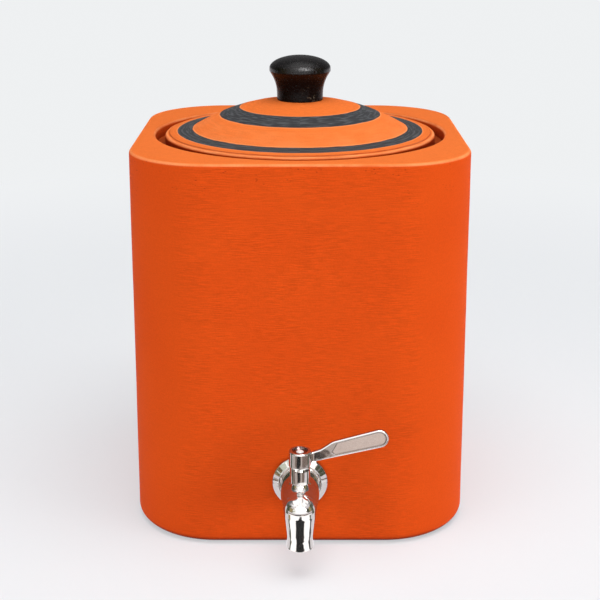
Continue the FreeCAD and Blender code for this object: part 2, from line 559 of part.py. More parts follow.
# --- The tap's mounting through the wall -----------------------------------------------------
def make_mounting():
    shank_hole = "(Sizes.shank_radius + Sizes.thread_clearance)"
    outer_gasket = washer("outer_gasket", "Sizes.gasket_radius", shank_hole,
                          "Sizes.gasket_thickness", OUTER_SEAT, "Sizes.tap_height", TO_FRONT)
    flange_corners = [
        (shank_hole, "0"),
        ("Sizes.flange_radius", "0"),
        ("Sizes.flange_radius", "Sizes.flange_edge", "Sizes.metal_edge"),
        ("(Sizes.collar_radius + Sizes.flange_crown_margin)", "Sizes.flange_crown", "Sizes.metal_edge"),
        (shank_hole, "Sizes.flange_crown"),
    ]
    flange = turned("wall_flange", flange_corners, FLANGE_BACK, "Sizes.tap_height", TO_FRONT)

    gasket_face = "(" + INNER_SEAT + " - Sizes.gasket_thickness)"
    washer_face = "(" + gasket_face + " - Sizes.inner_washer_thickness)"
    nut_face = "(" + washer_face + " - Sizes.nut_thickness)"
    inner_gasket = washer("inner_gasket", "Sizes.gasket_radius", shank_hole,
                          "Sizes.gasket_thickness", gasket_face, "Sizes.tap_height", TO_FRONT)
    inner_washer = washer("inner_washer", "Sizes.inner_washer_radius", shank_hole,
                          "Sizes.inner_washer_thickness", washer_face, "Sizes.tap_height", TO_FRONT)

    nut = new_piece("lock_nut", nut_face, "Sizes.tap_height", TO_FRONT)
    corner_reach = "(Sizes.nut_flats / sqrt(3))"
    half_flat = "(Sizes.nut_flats / 2)"
    hexagon = [
        (corner_reach, "0"), (corner_reach + " / 2", half_flat),
        ("-1 * " + corner_reach + " / 2", half_flat), ("-1 * " + corner_reach, "0"),
        ("-1 * " + corner_reach + " / 2", "-1 * " + half_flat),
        (corner_reach + " / 2", "-1 * " + half_flat),
    ]
    pad(nut, outline_sketch(nut, "nut_plan", "XY_Plane", hexagon), "Sizes.nut_thickness")
    pocket(nut, circle_sketch(nut, "nut_thread", "XY_Plane", shank_hole), None, True)

    inlet = "(" + COLLAR_BACK + " - " + nut_face + " + Sizes.shank_end_margin)"
    nose_end = "(Sizes.collar_thickness + Sizes.stem_offset - " + SEAT_BACK + ")"
    shank_corners = [
        ("Sizes.shank_bore_radius", "-1 * " + inlet),
        ("Sizes.shank_radius", "-1 * " + inlet, "Sizes.metal_edge"),
        ("Sizes.shank_radius", "0"),
        ("Sizes.collar_radius", "0"),
        ("Sizes.collar_radius", "Sizes.collar_thickness", "Sizes.metal_edge"),
        ("Sizes.nose_radius", "Sizes.collar_thickness"),
        ("Sizes.nose_radius", nose_end),
        ("Sizes.shank_bore_radius", nose_end),
    ]
    shank = turned("tap_shank", shank_corners, COLLAR_BACK, "Sizes.tap_height", TO_FRONT)
    return [outer_gasket, flange, inner_gasket, inner_washer, nut, shank]


# --- tap_body: barrel, bulb, spout and threaded neck in one casting --------------------------
def make_tap_body():
    body = new_piece("tap_body", STEM_AXIS, "Sizes.tap_height")
    front = "-1 * Sizes.spout_offset"
    barrel = outline_sketch(body, "barrel", "YZ_Plane", [
        ("Sizes.stem_offset", "0"),
        (front, "0"),
        (front, "Sizes.bulb_radius"),
        ("(Sizes.stem_offset - Sizes.barrel_straight)", "Sizes.barrel_radius",
         "Sizes.barrel_curve"),
        ("Sizes.stem_offset", "Sizes.barrel_radius"),
    ])
    revolve(body, barrel, axis="H_Axis")
    bulb = body.newObject("PartDesign::AdditiveSphere", "bulb")
    bulb.setExpression("Radius", "Sizes.bulb_radius")
    bulb.setExpression("Placement.Base.y", front)
    doc.recompute()
    lip = "-1 * Sizes.outlet_drop"
    spout = outline_sketch(body, "spout", "YZ_Plane", [
        ("0", "0"),
        ("0", lip),
        ("Sizes.outlet_radius", lip, "Sizes.metal_edge"),
        ("Sizes.waist_radius", "-1 * Sizes.waist_drop", "Sizes.spout_curve"),
        ("Sizes.bulb_radius", "-1 * Sizes.bulb_drop", "Sizes.spout_curve"),
        ("Sizes.bulb_radius", "0"),
    ], (front, "0", "0"))
    revolve(body, spout)
    neck = circle_sketch(body, "neck", "XY_Plane", "Sizes.neck_radius")
    pad(body, neck, "Sizes.neck_height")

    # water way: thread for the shank's nose, ball chamber, then forward to the spout
    thread = "(Sizes.nose_radius + Sizes.thread_clearance)"
    way = outline_sketch(body, "water_way", "YZ_Plane", [
        ("Sizes.stem_offset", "0"),
        ("Sizes.stem_offset", thread),
        (SEAT_BACK, thread),
        (SEAT_BACK, CHAMBER_RADIUS),
        ("-1 * " + SEAT_BACK, CHAMBER_RADIUS),
        ("-1 * " + SEAT_BACK, "Sizes.ball_bore_radius"),
        (front, "Sizes.ball_bore_radius"),
        (front, "0"),
    ])
    revolve(body, way, "Groove", "H_Axis")
    outlet_inside = "(Sizes.outlet_radius - Sizes.outlet_wall)"
    cone_foot = "(Sizes.outlet_depth - Sizes.outlet_drop)"
    down = outline_sketch(body, "spout_bore", "YZ_Plane", [
        ("0", "Sizes.ball_bore_radius"),
        ("0", lip),
        (outlet_inside, lip),
        (outlet_inside, cone_foot),
        ("Sizes.spout_bore_radius", "(" + cone_foot + " + Sizes.spout_cone)"),
        ("Sizes.spout_bore_radius", "Sizes.ball_bore_radius"),
    ], (front, "0", "0"))
    revolve(body, down, "Groove")
    stem_pocket = "(Sizes.stem_collar_radius + Sizes.stem_running_gap)"
    stem_way = outline_sketch(body, "stem_way", "YZ_Plane", [
        ("0", "0"),
        (stem_pocket, "0"),
        (stem_pocket, THRUST_SEAT),
        (STEM_BORE, THRUST_SEAT),
        (STEM_BORE, "Sizes.neck_height"),
        ("0", "Sizes.neck_height"),
    ])
    revolve(body, stem_way, "Groove")

    # groove for the face O-ring in the barrel's rear face
    ring_half = "(Sizes.face_ring_cord + Sizes.seal_slip)"
    floor = "(Sizes.stem_offset - 2 * " + ring_half + ")"
    groove = outline_sketch(body, "face_ring_groove", "YZ_Plane", [
        ("Sizes.stem_offset", FACE_RING_RADIUS + " - " + ring_half),
        ("Sizes.stem_offset", FACE_RING_RADIUS + " + " + ring_half),
        (floor, FACE_RING_RADIUS + " + " + ring_half),
        (floor, FACE_RING_RADIUS + " - " + ring_half),
    ])
    revolve(body, groove, "Groove", "H_Axis")
    return body


# --- Seals, seats and bonnet round the valve -------------------------------------------------
def make_seals():
    face_ring = doc.addObject("Part::Torus", "body_o_ring")
    face_ring.Label = "body_o_ring"
    face_ring.setExpression("Radius1", FACE_RING_RADIUS)
    face_ring.setExpression("Radius2", "Sizes.face_ring_cord")
    face_ring.Placement = Placement(Vector(), TO_FRONT)
    middle = "(" + BARREL_BACK + " + Sizes.face_ring_cord + Sizes.seal_slip)"
    face_ring.setExpression("Placement.Base.y", "-1 * " + middle)
    face_ring.setExpression("Placement.Base.z", "Sizes.tap_height")

    # each seat touches the ball on a 45 degree cone, a film's thickness off the ball
    cone = "(sqrt(2) * (Sizes.ball_radius + Sizes.seat_clearance))"
    outer = "(" + CHAMBER_RADIUS + " - Sizes.seal_slip)"
    seat_corners = [
        ("Sizes.ball_bore_radius", "(" + cone + " - Sizes.ball_bore_radius)"),
        ("(" + cone + " - " + SEAT_FRONT + ")", SEAT_FRONT),
        (outer, SEAT_FRONT),
        (outer, SEAT_BACK),
        ("Sizes.ball_bore_radius", SEAT_BACK),
    ]
    seat_front = turned("seat_front", seat_corners, STEM_AXIS, "Sizes.tap_height", TO_FRONT)
    seat_rear = turned("seat_rear", seat_corners, STEM_AXIS, "Sizes.tap_height", TO_BACK)

    thrust = washer("stem_thrust_washer", "Sizes.stem_collar_radius", STEM_BORE,
                    "Sizes.thrust_washer_thickness", STEM_AXIS,
                    "(Sizes.tap_height + " + STEM_COLLAR_TOP + " + Sizes.stem_float)")
    return [face_ring, seat_front, seat_rear, thrust]


def make_bonnet():
    """Gland nut on the neck; a notch in its top edge takes the lever's stop lug."""
    thread = "(Sizes.neck_radius + Sizes.thread_clearance)"
    height = "(Sizes.bonnet_grip + Sizes.bonnet_cap)"
    web = "(Sizes.bonnet_grip + Sizes.stem_float)"
    body = turned("bonnet", [
        (thread, "0"),
        ("(" + BONNET_RADIUS + " - Sizes.bonnet_chamfer)", "0"),
        (BONNET_RADIUS, "Sizes.bonnet_chamfer"),
        (BONNET_RADIUS, height),
        (STEM_BORE, height),
        (STEM_BORE, web),
        (thread, web),
    ], STEM_AXIS, "(Sizes.tap_height + Sizes.neck_height - Sizes.bonnet_grip)")
    notch_floor = height + " + Sizes.hub_gap - Sizes.lug_height - Sizes.notch_clearance"
    notch_inside = "(Sizes.lug_inner_radius - Sizes.notch_inner_gap)"
    notch_outside = "(" + BONNET_RADIUS + " + Sizes.hub_gap)"
    notch = outline_sketch(body, "stop_notch", "XZ_Plane", [
        (notch_inside, notch_floor),
        (notch_outside, notch_floor),
        (notch_outside, height + " + Sizes.hub_gap"),
        (notch_inside, height + " + Sizes.hub_gap"),
    ])
    turn_to_azimuth(notch, "(Sizes.lug_centre - Sizes.swing / 2)")
    revolve(body, notch, "Groove", angle="Sizes.swing + Sizes.lug_width + 2 * Sizes.lug_margin")
    return body


def turn_to_azimuth(sketch, azimuth):
    """Swing an upright sketch so that its +X side points from the front towards +X by an angle."""
    sketch.AttachmentOffset = Placement(Vector(), Rotation(Vector(0, 1, 0), value(azimuth) - 90))
    sketch.setExpression("AttachmentOffset.Rotation.Angle", azimuth + " - 90")


# --- Turning pieces: stem, ball, stem O-rings, lever, screw and button -----------------------
def make_valve_stem():
    groove_floor = "(Sizes.stem_radius - 2 * Sizes.stem_ring_cord - Sizes.seal_slip)"
    groove_half = "(Sizes.stem_ring_cord + Sizes.seal_slip)"
    grooves = []
    for centre in ("(Sizes.stem_ring_low + Sizes.stem_ring_step)", "Sizes.stem_ring_low"):
        grooves += [
            ("Sizes.stem_radius", centre + " + " + groove_half),
            (groove_floor, centre + " + " + groove_half),
            (groove_floor, centre + " - " + groove_half),
            ("Sizes.stem_radius", centre + " - " + groove_half),
        ]
    body = turned("valve_stem", [
        ("0", STEM_COLLAR_BOTTOM),
        ("0", SQUARE_BOTTOM),
        ("Sizes.stem_radius", SQUARE_BOTTOM),
    ] + grooves + [
        ("Sizes.stem_radius", STEM_COLLAR_TOP),
        ("Sizes.stem_collar_radius", STEM_COLLAR_TOP),
        ("Sizes.stem_collar_radius", STEM_COLLAR_BOTTOM),
    ], STEM_AXIS, "Sizes.tap_height")
    square = outline_sketch(body, "stem_square", "XY_Plane",
                            rectangle("Sizes.square_flats", "Sizes.square_flats"),
                            ("0", "0", SQUARE_BOTTOM))
    pad(body, square, "Sizes.square_height")
    tang = outline_sketch(body, "stem_tang", "XY_Plane",
                          rectangle("Sizes.tang_length", "Sizes.tang_thickness"),
                          ("0", "0", "(" + STEM_COLLAR_BOTTOM + " - Sizes.tang_reach)"))
    pad(body, tang, "Sizes.tang_reach")
    tapped = circle_sketch(body, "stem_tapped_hole", "XY_Plane",
                           "(Sizes.handle_screw_radius + Sizes.thread_clearance)",
                           ("0", "0", "(" + SQUARE_BOTTOM + " + Sizes.square_height)"))
    pocket(body, tapped, "(Sizes.handle_screw_grip + Sizes.handle_screw_radius)")
    return body


def rectangle(long_side, short_side):
    half_long, half_short = "(" + long_side + " / 2)", "(" + short_side + " / 2)"
    return [(half_long, "-1 * " + half_short), (half_long, half_short),
            ("-1 * " + half_long, half_short), ("-1 * " + half_long, "-1 * " + half_short)]


def make_valve_ball():
    """Ball with its water way crosswise while the tap is shut, and a slot for the stem's tang."""
    body = new_piece("valve_ball", STEM_AXIS, "Sizes.tap_height")
    ball = body.newObject("PartDesign::AdditiveSphere", "ball")
    ball.setExpression("Radius", "Sizes.ball_radius")
    doc.recompute()
    bore = circle_sketch(body, "ball_bore", "YZ_Plane", "Sizes.ball_bore_radius",
                         ("0", "0", "-2 * Sizes.ball_radius"))
    pocket(body, bore, None, True)
    slot_floor = "(" + STEM_COLLAR_BOTTOM + " - Sizes.tang_reach - Sizes.slot_clearance)"
    slot = outline_sketch(body, "ball_slot", "XY_Plane",
                          rectangle("(3 * Sizes.ball_radius)",
                                    "(Sizes.tang_thickness + 2 * Sizes.slot_clearance)"),
                          ("0", "0", slot_floor))
    pocket(body, slot, "2 * Sizes.ball_radius", True)
    return body


def make_stem_rings():
    rings = []
    for name, height in (("lower_ring", "Sizes.stem_ring_low"),
                         ("upper_ring", "(Sizes.stem_ring_low + Sizes.stem_ring_step)")):
        ring = doc.addObject("Part::Torus", name)
        ring.setExpression("Radius1", "Sizes.stem_radius - Sizes.stem_ring_cord - Sizes.seal_slip / 2")
        ring.setExpression("Radius2", "Sizes.stem_ring_cord")
        ring.setExpression("Placement.Base.z", height)
        rings.append(ring)
    group = doc.addObject("Part::Compound", "stem_o_rings")
    group.Label = "stem_o_rings"
    group.Links = rings
    group.setExpression("Placement.Base.y", "-1 * " + STEM_AXIS)
    group.setExpression("Placement.Base.z", "Sizes.tap_height")
    return group


def along_blade(run, side, radius=None):
    """Corner at a run along the blade's middle line and a distance above it."""
    cosine, sine = "cos(Sizes.blade_tilt)", "sin(Sizes.blade_tilt)"
    across = "(Sizes.blade_start + (%s) * %s - (%s) * %s)" % (run, cosine, side, sine)
    up = "(Sizes.blade_start_rise + (%s) * %s + (%s) * %s)" % (run, sine, side, cosine)
    return (across, up, radius) if radius else (across, up)


def make_lever_handle():
    """Hub on the stem's square, with a rising arm, an upright blade and a stop lug below."""
    body = new_piece("lever_handle", STEM_AXIS, "(Sizes.tap_height + " + HUB_BOTTOM + ")")
    screw_hole = "(Sizes.handle_screw_radius + Sizes.handle_screw_clearance)"
    head_hole = "(Sizes.handle_screw_head_radius + Sizes.handle_screw_clearance)"
    button_hole = "(Sizes.button_radius + Sizes.seal_slip)"
    hub = outline_sketch(body, "hub", "XZ_Plane", [
        (screw_hole, "0"),
        (HUB_RADIUS, "0"),
        (HUB_RADIUS, HUB_HEIGHT, "Sizes.hub_edge_radius"),
        (DISH_RADIUS, HUB_HEIGHT),
        (DISH_RADIUS, DISH_FLOOR),
        (button_hole, DISH_FLOOR),
        (button_hole, BUTTON_SEAT),
        (head_hole, BUTTON_SEAT),
        (head_hole, WEB_TOP),
        (screw_hole, WEB_TOP),
    ])
    revolve(body, hub)

    root = "(" + DISH_RADIUS + " + " + HUB_RADIUS + ") / 2"
    blade = outline_sketch(body, "arm_and_blade", "XZ_Plane", [
        (root, "Sizes.arm_root_bottom"),
        along_blade("0", "-1 * Sizes.blade_start_half"),
        along_blade("Sizes.blade_length", "-1 * Sizes.blade_end_half", TIP_RADIUS),
        along_blade("Sizes.blade_length", "Sizes.blade_end_half", TIP_RADIUS),
        along_blade("Sizes.arm_top_run", "Sizes.blade_start_half", "Sizes.arm_curve"),
        ("Sizes.arm_bend", "(" + HUB_HEIGHT + " + Sizes.arm_bend_lift)", "Sizes.arm_curve"),
        (root, "(" + HUB_HEIGHT + " - Sizes.arm_root_drop)"),
    ])
    pad(body, blade, "Sizes.blade_thickness", both_ways=True)

    panel_run = "(Sizes.blade_length - Sizes.panel_rim)"
    panel_end = "(" + TIP_RADIUS + " - Sizes.panel_rim)"
    start_half = "(Sizes.blade_start_half - Sizes.panel_rim)"
    end_half = "(Sizes.blade_end_half - Sizes.panel_rim)"
    panel = outline_sketch(body, "bare_panel", "XZ_Plane", [
        along_blade("0", "-1 * Sizes.panel_point_drop"),
        along_blade("Sizes.panel_low_run", "-1 * " + start_half),
        along_blade(panel_run, "-1 * " + end_half, panel_end),
        along_blade(panel_run, end_half, panel_end),
        along_blade("Sizes.panel_high_run", start_half),
    ], ("0", "0", "(Sizes.blade_thickness / 2 - Sizes.panel_depth)"))
    pocket(body, panel, "Sizes.blade_thickness", True)

    lug_outer = "(" + BONNET_RADIUS + " - Sizes.stem_float)"
    lug = outline_sketch(body, "stop_lug", "XZ_Plane", [
        ("Sizes.lug_inner_radius", "-1 * Sizes.lug_height"),
        (lug_outer, "-1 * Sizes.lug_height"),
        (lug_outer, "0"),
        ("Sizes.lug_inner_radius", "0"),
    ])
    turn_to_azimuth(lug, "Sizes.lug_centre")
    revolve(body, lug, angle="Sizes.lug_width")

    relief = circle_sketch(body, "stem_relief", "XY_Plane", STEM_BORE)
    pocket(body, relief, "Sizes.hub_relief", True)
    flats = "(Sizes.square_flats + 2 * Sizes.slot_clearance)"
    square = outline_sketch(body, "hub_square", "XY_Plane", rectangle(flats, flats))
    pocket(body, square, WEB_BOTTOM, True)
    return body


def make_handle_fixings():
    web_top = "(Sizes.tap_height + " + HUB_BOTTOM + " + " + WEB_TOP + ")"
    reach = "(Sizes.handle_web + Sizes.slot_clearance + Sizes.handle_screw_grip)"
    screw = turned("handle_screw", [
        ("0", "-1 * " + reach),
        ("Sizes.handle_screw_radius", "-1 * " + reach),
        ("Sizes.handle_screw_radius", "0"),
        ("Sizes.handle_screw_head_radius", "0"),
        ("Sizes.handle_screw_head_radius", "Sizes.handle_screw_head_height",
         "Sizes.metal_edge"),
        ("0", "Sizes.handle_screw_head_height"),
    ], STEM_AXIS, web_top)

    button_top = "(Sizes.button_thickness + Sizes.button_dome_height)"
    button = turned("index_button", [
        ("0", "0"),
        ("Sizes.button_radius", "0"),
        ("Sizes.button_radius", "Sizes.button_thickness"),
        ("Sizes.button_dome_radius", "Sizes.button_thickness"),
        ("(Sizes.button_dome_radius - Sizes.button_dome_slope)", button_top, "Sizes.button_dome_round"),
        ("0", button_top),
    ], STEM_AXIS, "(Sizes.tap_height + " + HUB_BOTTOM + " + " + BUTTON_SEAT + ")")
    return [screw, button]


pieces = [make_clay_pot(), make_clay_lid()]
pieces += make_knob_pieces()
pieces += make_mounting()
pieces.append(make_tap_body())
pieces += make_seals()
pieces.append(make_bonnet())
pieces.append(make_valve_stem())
pieces.append(make_valve_ball())
pieces.append(make_stem_rings())
pieces.append(make_lever_handle())
pieces += make_handle_fixings()
doc.recompute()

# --- Nothing is written unless every object is sound -----------------------------------------
for item in doc.Objects:
    if "Invalid" in item.State or "Error" in item.State:
        raise RuntimeError(item.Label + " failed: " + ", ".join(item.State))
for piece in pieces:
    if piece.Shape.isNull() or not piece.Shape.isValid() or not piece.Shape.Solids:
        raise RuntimeError(piece.Label + " has no sound shape")

os.makedirs("parts", exist_ok=True)
for piece in pieces:
    piece.Shape.exportStep(os.path.join("parts", piece.Label + ".step"))
    box = piece.Shape.BoundBox
    print("%-20s solids %d  volume %10.1f  x %7.2f %7.2f  y %8.2f %8.2f  z %7.2f %7.2f" % (
        piece.Label, len(piece.Shape.Solids), piece.Shape.Volume,
        box.XMin, box.XMax, box.YMin, box.YMax, box.ZMin, box.ZMax))
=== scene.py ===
import json
import math

import bmesh
import bpy
import numpy as np
from mathutils import Matrix, Vector, noise


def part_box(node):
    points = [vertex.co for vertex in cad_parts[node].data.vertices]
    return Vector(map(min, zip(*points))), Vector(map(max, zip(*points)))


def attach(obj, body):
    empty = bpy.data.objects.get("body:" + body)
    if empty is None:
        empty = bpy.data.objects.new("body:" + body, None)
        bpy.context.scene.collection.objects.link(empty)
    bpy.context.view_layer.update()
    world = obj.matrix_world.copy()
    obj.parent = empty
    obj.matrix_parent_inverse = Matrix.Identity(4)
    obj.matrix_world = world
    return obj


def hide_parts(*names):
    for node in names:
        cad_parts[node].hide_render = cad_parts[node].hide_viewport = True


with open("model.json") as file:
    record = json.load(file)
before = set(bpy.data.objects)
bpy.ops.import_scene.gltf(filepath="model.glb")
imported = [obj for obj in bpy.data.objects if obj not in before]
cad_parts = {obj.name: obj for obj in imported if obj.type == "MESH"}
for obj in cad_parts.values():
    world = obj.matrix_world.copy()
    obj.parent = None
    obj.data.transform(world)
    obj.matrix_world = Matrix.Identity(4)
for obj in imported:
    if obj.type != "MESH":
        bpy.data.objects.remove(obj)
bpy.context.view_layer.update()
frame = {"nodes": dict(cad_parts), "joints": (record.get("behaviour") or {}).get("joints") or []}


# --- Camera ----------------------------------------------------------------------------------
# A long lens on a stand in front of the tap, higher than the lid and looking down at the pot.
# It stands level from side to side, on the pot's middle line.
CAMERA_PLACE = (0, -0.9658, 0.4682)
CAMERA_DOWN = math.radians(18.13)
CAMERA_LENS = 74.82

camera = bpy.data.objects.new("camera", bpy.data.cameras.new("camera"))
camera.data.lens = CAMERA_LENS
camera.location = CAMERA_PLACE
camera.rotation_euler = (math.radians(90) - CAMERA_DOWN, 0, 0)
bpy.context.scene.collection.objects.link(camera)
bpy.context.scene.camera = camera
bpy.context.scene.view_settings.view_transform = "Standard"


# --- Studio ----------------------------------------------------------------------------------
# A white table in a white room. Large softboxes hang on the right, on the left and over the pot.
# Glossy rays alone see painted reflections there: the stand and lens in front, a coloured room behind.
TAP_AXIS = next(joint for joint in frame["joints"] if joint["name"] == "handle_turn")["pos_m"]
FLOOR_RADIUS = 14
FLOOR_COLOUR = (0.82, 0.83, 0.84, 1)
FLOOR_MOTTLE = (0.80, 0.81, 0.82, 1)
NEAR_WHITE = (0.87, 0.89, 0.925, 1)
FAR_WHITE = (0.86, 0.875, 0.885, 1)
LIT_SHARE = 0.5  # share of the table's look near the pot that the lamps and shadows make
LIT_REACH = (0.25, 1.2)  # metres from the pot over which plain white takes over from that look
ROOM_LIGHT = 0.40
ROOM_WHITE = (0.98, 0.99, 1.0, 1)
ROOM_BEHIND = (0.22, 0.22, 0.225, 1)  # the unlit end of the room, as metal at the back sees it
BOXES_FACE = Vector((0, 0, 0.17))  # the middle of the pot
# Place, size and power of each softbox.
SOFTBOXES = {
    "key_box": ((1.50, -0.84, 0.33), (0.8, 0.75), 16.3),
    "fill_box": ((-1.2, -1.1, 0.33), (0.6, 0.75), 8.8),
    "top_box": ((0.12, -0.3, 1.5), (1.2, 0.9), 15.8),
}
GLOW = (20, 20, 20, 1)  # a painted reflection of a tall window, seen only in glossy rays; it makes the knob's highlight
BRIGHT, PALE, BLACK = (2.4, 2.4, 2.4, 1), (1.32, 1.27, 1.32, 1), (0.01, 0.01, 0.01, 1)
BROWN, BEIGE, GOLD = (0.36, 0.27, 0.23, 1), (0.88, 0.77, 0.72, 1), (0.66, 0.52, 0.24, 1)
GREEN, LEAF = (0.09, 0.11, 0.045, 1), (1.1, 1.18, 1.02, 1)
# Painted reflections on the table: degrees round the tap from ahead, metres from it, what metal sees.
# The spout sees what lies nearest, then the bonnet and the hub, and the blade what is beyond.
TABLE_MIRRORED = [
    (-72, 72, 0.0, 0.145, BRIGHT), (-106, -86, 0.11, 0.4, GREEN), (86, 106, 0.11, 0.4, GREEN),
    (-76, -62, 0.084, 0.12, GOLD), (62, 76, 0.084, 0.12, GREEN), (-82, -67, 0.05, 0.088, GREEN),
    (67, 82, 0.05, 0.088, BLACK), (-92, -72, 0.0, 0.054, GREEN), (72, 92, 0.0, 0.054, BLACK),
    (-85, 53, 0.144, 0.174, BROWN), (-58, -31, 0.144, 0.174, BEIGE), (-25, 2, 0.144, 0.174, BLACK),
    (-76, 88, 0.176, 0.216, BROWN), (-74, -52, 0.176, 0.216, BEIGE), (-34, 2, 0.176, 0.216, BLACK),
    (5, 22, 0.148, 0.25, BEIGE),
]
# Painted reflections in the room: degrees round from straight ahead, sine of the height, what metal
# sees.
ROOM_MIRRORED = [
    (-76, -52, -0.2, 0.7, GOLD), (-106, -76, -0.2, 0.7, GREEN), (52, 70, -0.2, 0.7, GREEN),
    (70, 84, -0.2, 0.7, GOLD), (84, 106, -0.2, 0.7, GREEN), (-48, 46, -0.25, 1.1, BRIGHT),
    (-54, -32, 0.0, 0.45, LEAF), (-58, -53, -0.2, 0.06, BLACK), (36, 44, 0.2, 0.5, GOLD),
    (44, 52, 0.03, 0.5, BLACK), (-180, 180, 0.93, 1.2, BRIGHT), (2, 42, 0.32, 0.92, GLOW),
]
STREAK_HALF = math.radians(30)  # a painted dark reflection of the stand down the middle of the spout
PATCH_SOFT = 0.05  # radians over which a mirrored patch fades in at its sides
TABLE_EDGE = (0.36, 0.46)  # metres from the tap where the mirrored table gives way to the room


def node(tree, kind, inputs=None, **settings):
    """Add a shader node; an input is a value, or another node's output to link from."""
    made = tree.nodes.new("ShaderNode" + kind)
    for setting, content in settings.items():
        setattr(made, setting, content)
    for name, content in (inputs or {}).items():
        if isinstance(content, bpy.types.NodeSocket):
            tree.links.new(content, made.inputs[name])
        else:
            made.inputs[name].default_value = content
    return made


def new_material(name, **sockets):
    """Material with a Principled shader, its even values set on the shader's own sockets."""
    material = bpy.data.materials.new(name)
    material.use_nodes = True
    tree = material.node_tree
    shader = tree.nodes["Principled BSDF"]
    for socket, content in sockets.items():
        shader.inputs[socket.replace("_", " ")].default_value = content
    return material, tree, shader


def ramp(tree, value, low, high, start=0.0, end=1.0):
    """Smooth step of a value from one level to another."""
    settings = {"Value": value, "From Min": low, "From Max": high, "To Min": start, "To Max": end}
    return node(tree, "MapRange", settings, interpolation_type="SMOOTHSTEP").outputs[0]


def blend(tree, share, first, second, kind="MIX"):
    """Mix two colours by a share."""
    mixed = node(tree, "MixRGB", {"Fac": share, "Color1": first, "Color2": second}, blend_type=kind)
    return mixed.outputs[0]


def maths(tree, operation, first, second=0.0):
    return node(tree, "Math", {0: first, 1: second}, operation=operation).outputs[0]


def split(tree, vector):
    """The three coordinates of a vector."""
    return node(tree, "SeparateXYZ", {"Vector": vector}).outputs


def noise_at(tree, place, scale, detail=2.0):
    settings = {"Vector": place, "Scale": scale, "Detail": detail}
    return node(tree, "TexNoise", settings).outputs[0]


def length(tree, x, y):
    across = node(tree, "CombineXYZ", {"X": x, "Y": y}).outputs[0]
    return node(tree, "VectorMath", {0: across}, operation="LENGTH").outputs["Value"]


def between(tree, value, low, high, soft):
    """Share that is 1 from low to high, with soft edges."""
    begun = ramp(tree, value, low - soft, low + soft)
    return maths(tree, "MULTIPLY", begun, ramp(tree, value, high + soft, high - soft))


def patchwork(tree, azimuth, level, soft, ground, patches):
    """Painted reflections for bright metal: coloured patches by azimuth and by a second measure."""
    seen = ground
    for left, right, low, high, colour in patches:
        wide = between(tree, azimuth, math.radians(left), math.radians(right), PATCH_SOFT)
        tall = between(tree, level, low, high, soft)
        seen = blend(tree, maths(tree, "MULTIPLY", wide, tall), seen, colour)
    return seen


def either(tree, share, first, second):
    """The first shader node where the share is 0, the second where it is 1."""
    return node(tree, "MixShader", {0: share, 1: first.outputs[0], 2: second.outputs[0]})


def add_object(name, content):
    made = bpy.data.objects.new(name, content)
    bpy.context.scene.collection.objects.link(made)
    return made


disc = bmesh.new()
bmesh.ops.create_circle(disc, cap_ends=True, segments=96, radius=FLOOR_RADIUS)
floor = add_object("studio_floor", bpy.data.meshes.new("studio_floor"))
disc.to_mesh(floor.data)
disc.free()
table_top, tree, shader = new_material("white_table", Roughness=0.9, Specular_IOR_Level=0.1)
place = node(tree, "TexCoord").outputs["Object"]
x, y, _ = split(tree, place)
mottle = noise_at(tree, place, 3.0)
tree.links.new(blend(tree, mottle, FLOOR_COLOUR, FLOOR_MOTTLE), shader.inputs["Base Color"])
path = node(tree, "LightPath")
white = blend(tree, ramp(tree, y, 0.05, 1.4), NEAR_WHITE, FAR_WHITE)
seen_white = node(tree, "Emission", {"Color": white})
opacity = ramp(tree, length(tree, x, y), *LIT_REACH, 1 - LIT_SHARE, 1.0)
share = maths(tree, "MULTIPLY", opacity, path.outputs["Is Camera Ray"])
# For glossy rays the table shows painted reflections: room patches far off, table patches near the tap.
ahead = maths(tree, "SUBTRACT", TAP_AXIS[1], y)
from_tap = length(tree, x, ahead)
waver = ramp(tree, noise_at(tree, place, 34.0, 3.0), 0.3, 0.7, -0.09, 0.09)
azimuth = maths(tree, "ADD", maths(tree, "ARCTAN2", x, ahead), waver)
far_side = patchwork(tree, azimuth, 0.0, 0.03, PALE, ROOM_MIRRORED)
far_side = blend(tree, ramp(tree, from_tap, *TABLE_EDGE), PALE, far_side)
mirrored = patchwork(tree, azimuth, from_tap, 0.004, far_side, TABLE_MIRRORED)
streak_half = maths(tree, "SUBTRACT", ramp(tree, from_tap, 0.15, 0.07, -0.06, STREAK_HALF),
                    ramp(tree, from_tap, 0.055, 0.03, 0.0, STREAK_HALF * 0.5))
streak = maths(tree, "SUBTRACT", streak_half, maths(tree, "ABSOLUTE", azimuth))
mirrored = blend(tree, ramp(tree, streak, -0.05, 0.05), mirrored, BLACK)
seen_mirrored = node(tree, "Emission", {"Color": mirrored})
surface = either(tree, share, shader, seen_white)
surface = either(tree, path.outputs["Is Glossy Ray"], surface, seen_mirrored)
tree.links.new(surface.outputs[0], tree.nodes["Material Output"].inputs["Surface"])
floor.data.materials.append(table_top)

room = bpy.data.worlds.new("white_room")
room.use_nodes = True
bpy.context.scene.world = room
tree = room.node_tree
tree.nodes.clear()
path = node(tree, "LightPath")
direction = node(tree, "TexCoord").outputs["Generated"]
x, y, z = split(tree, direction)
# Glossy rays see painted reflections of the room; other rays see even white light.
waver = ramp(tree, noise_at(tree, direction, 7.0, 3.0), 0.3, 0.7, -0.14, 0.14)
azimuth = maths(tree, "ADD", maths(tree, "ARCTAN2", x, maths(tree, "MULTIPLY", y, -1.0)), waver)
behind = blend(tree, ramp(tree, y, -0.1, 0.3), PALE, ROOM_BEHIND)
walls = patchwork(tree, azimuth, maths(tree, "ADD", z, waver), 0.03, behind, ROOM_MIRRORED)
lights = node(tree, "Background", {"Color": ROOM_WHITE, "Strength": ROOM_LIGHT})
mirrored = node(tree, "Background", {"Color": walls})
backdrop = node(tree, "Background", {"Color": FAR_WHITE})
sky = either(tree, path.outputs["Is Glossy Ray"], lights, mirrored)
sky = either(tree, path.outputs["Is Camera Ray"], sky, backdrop)
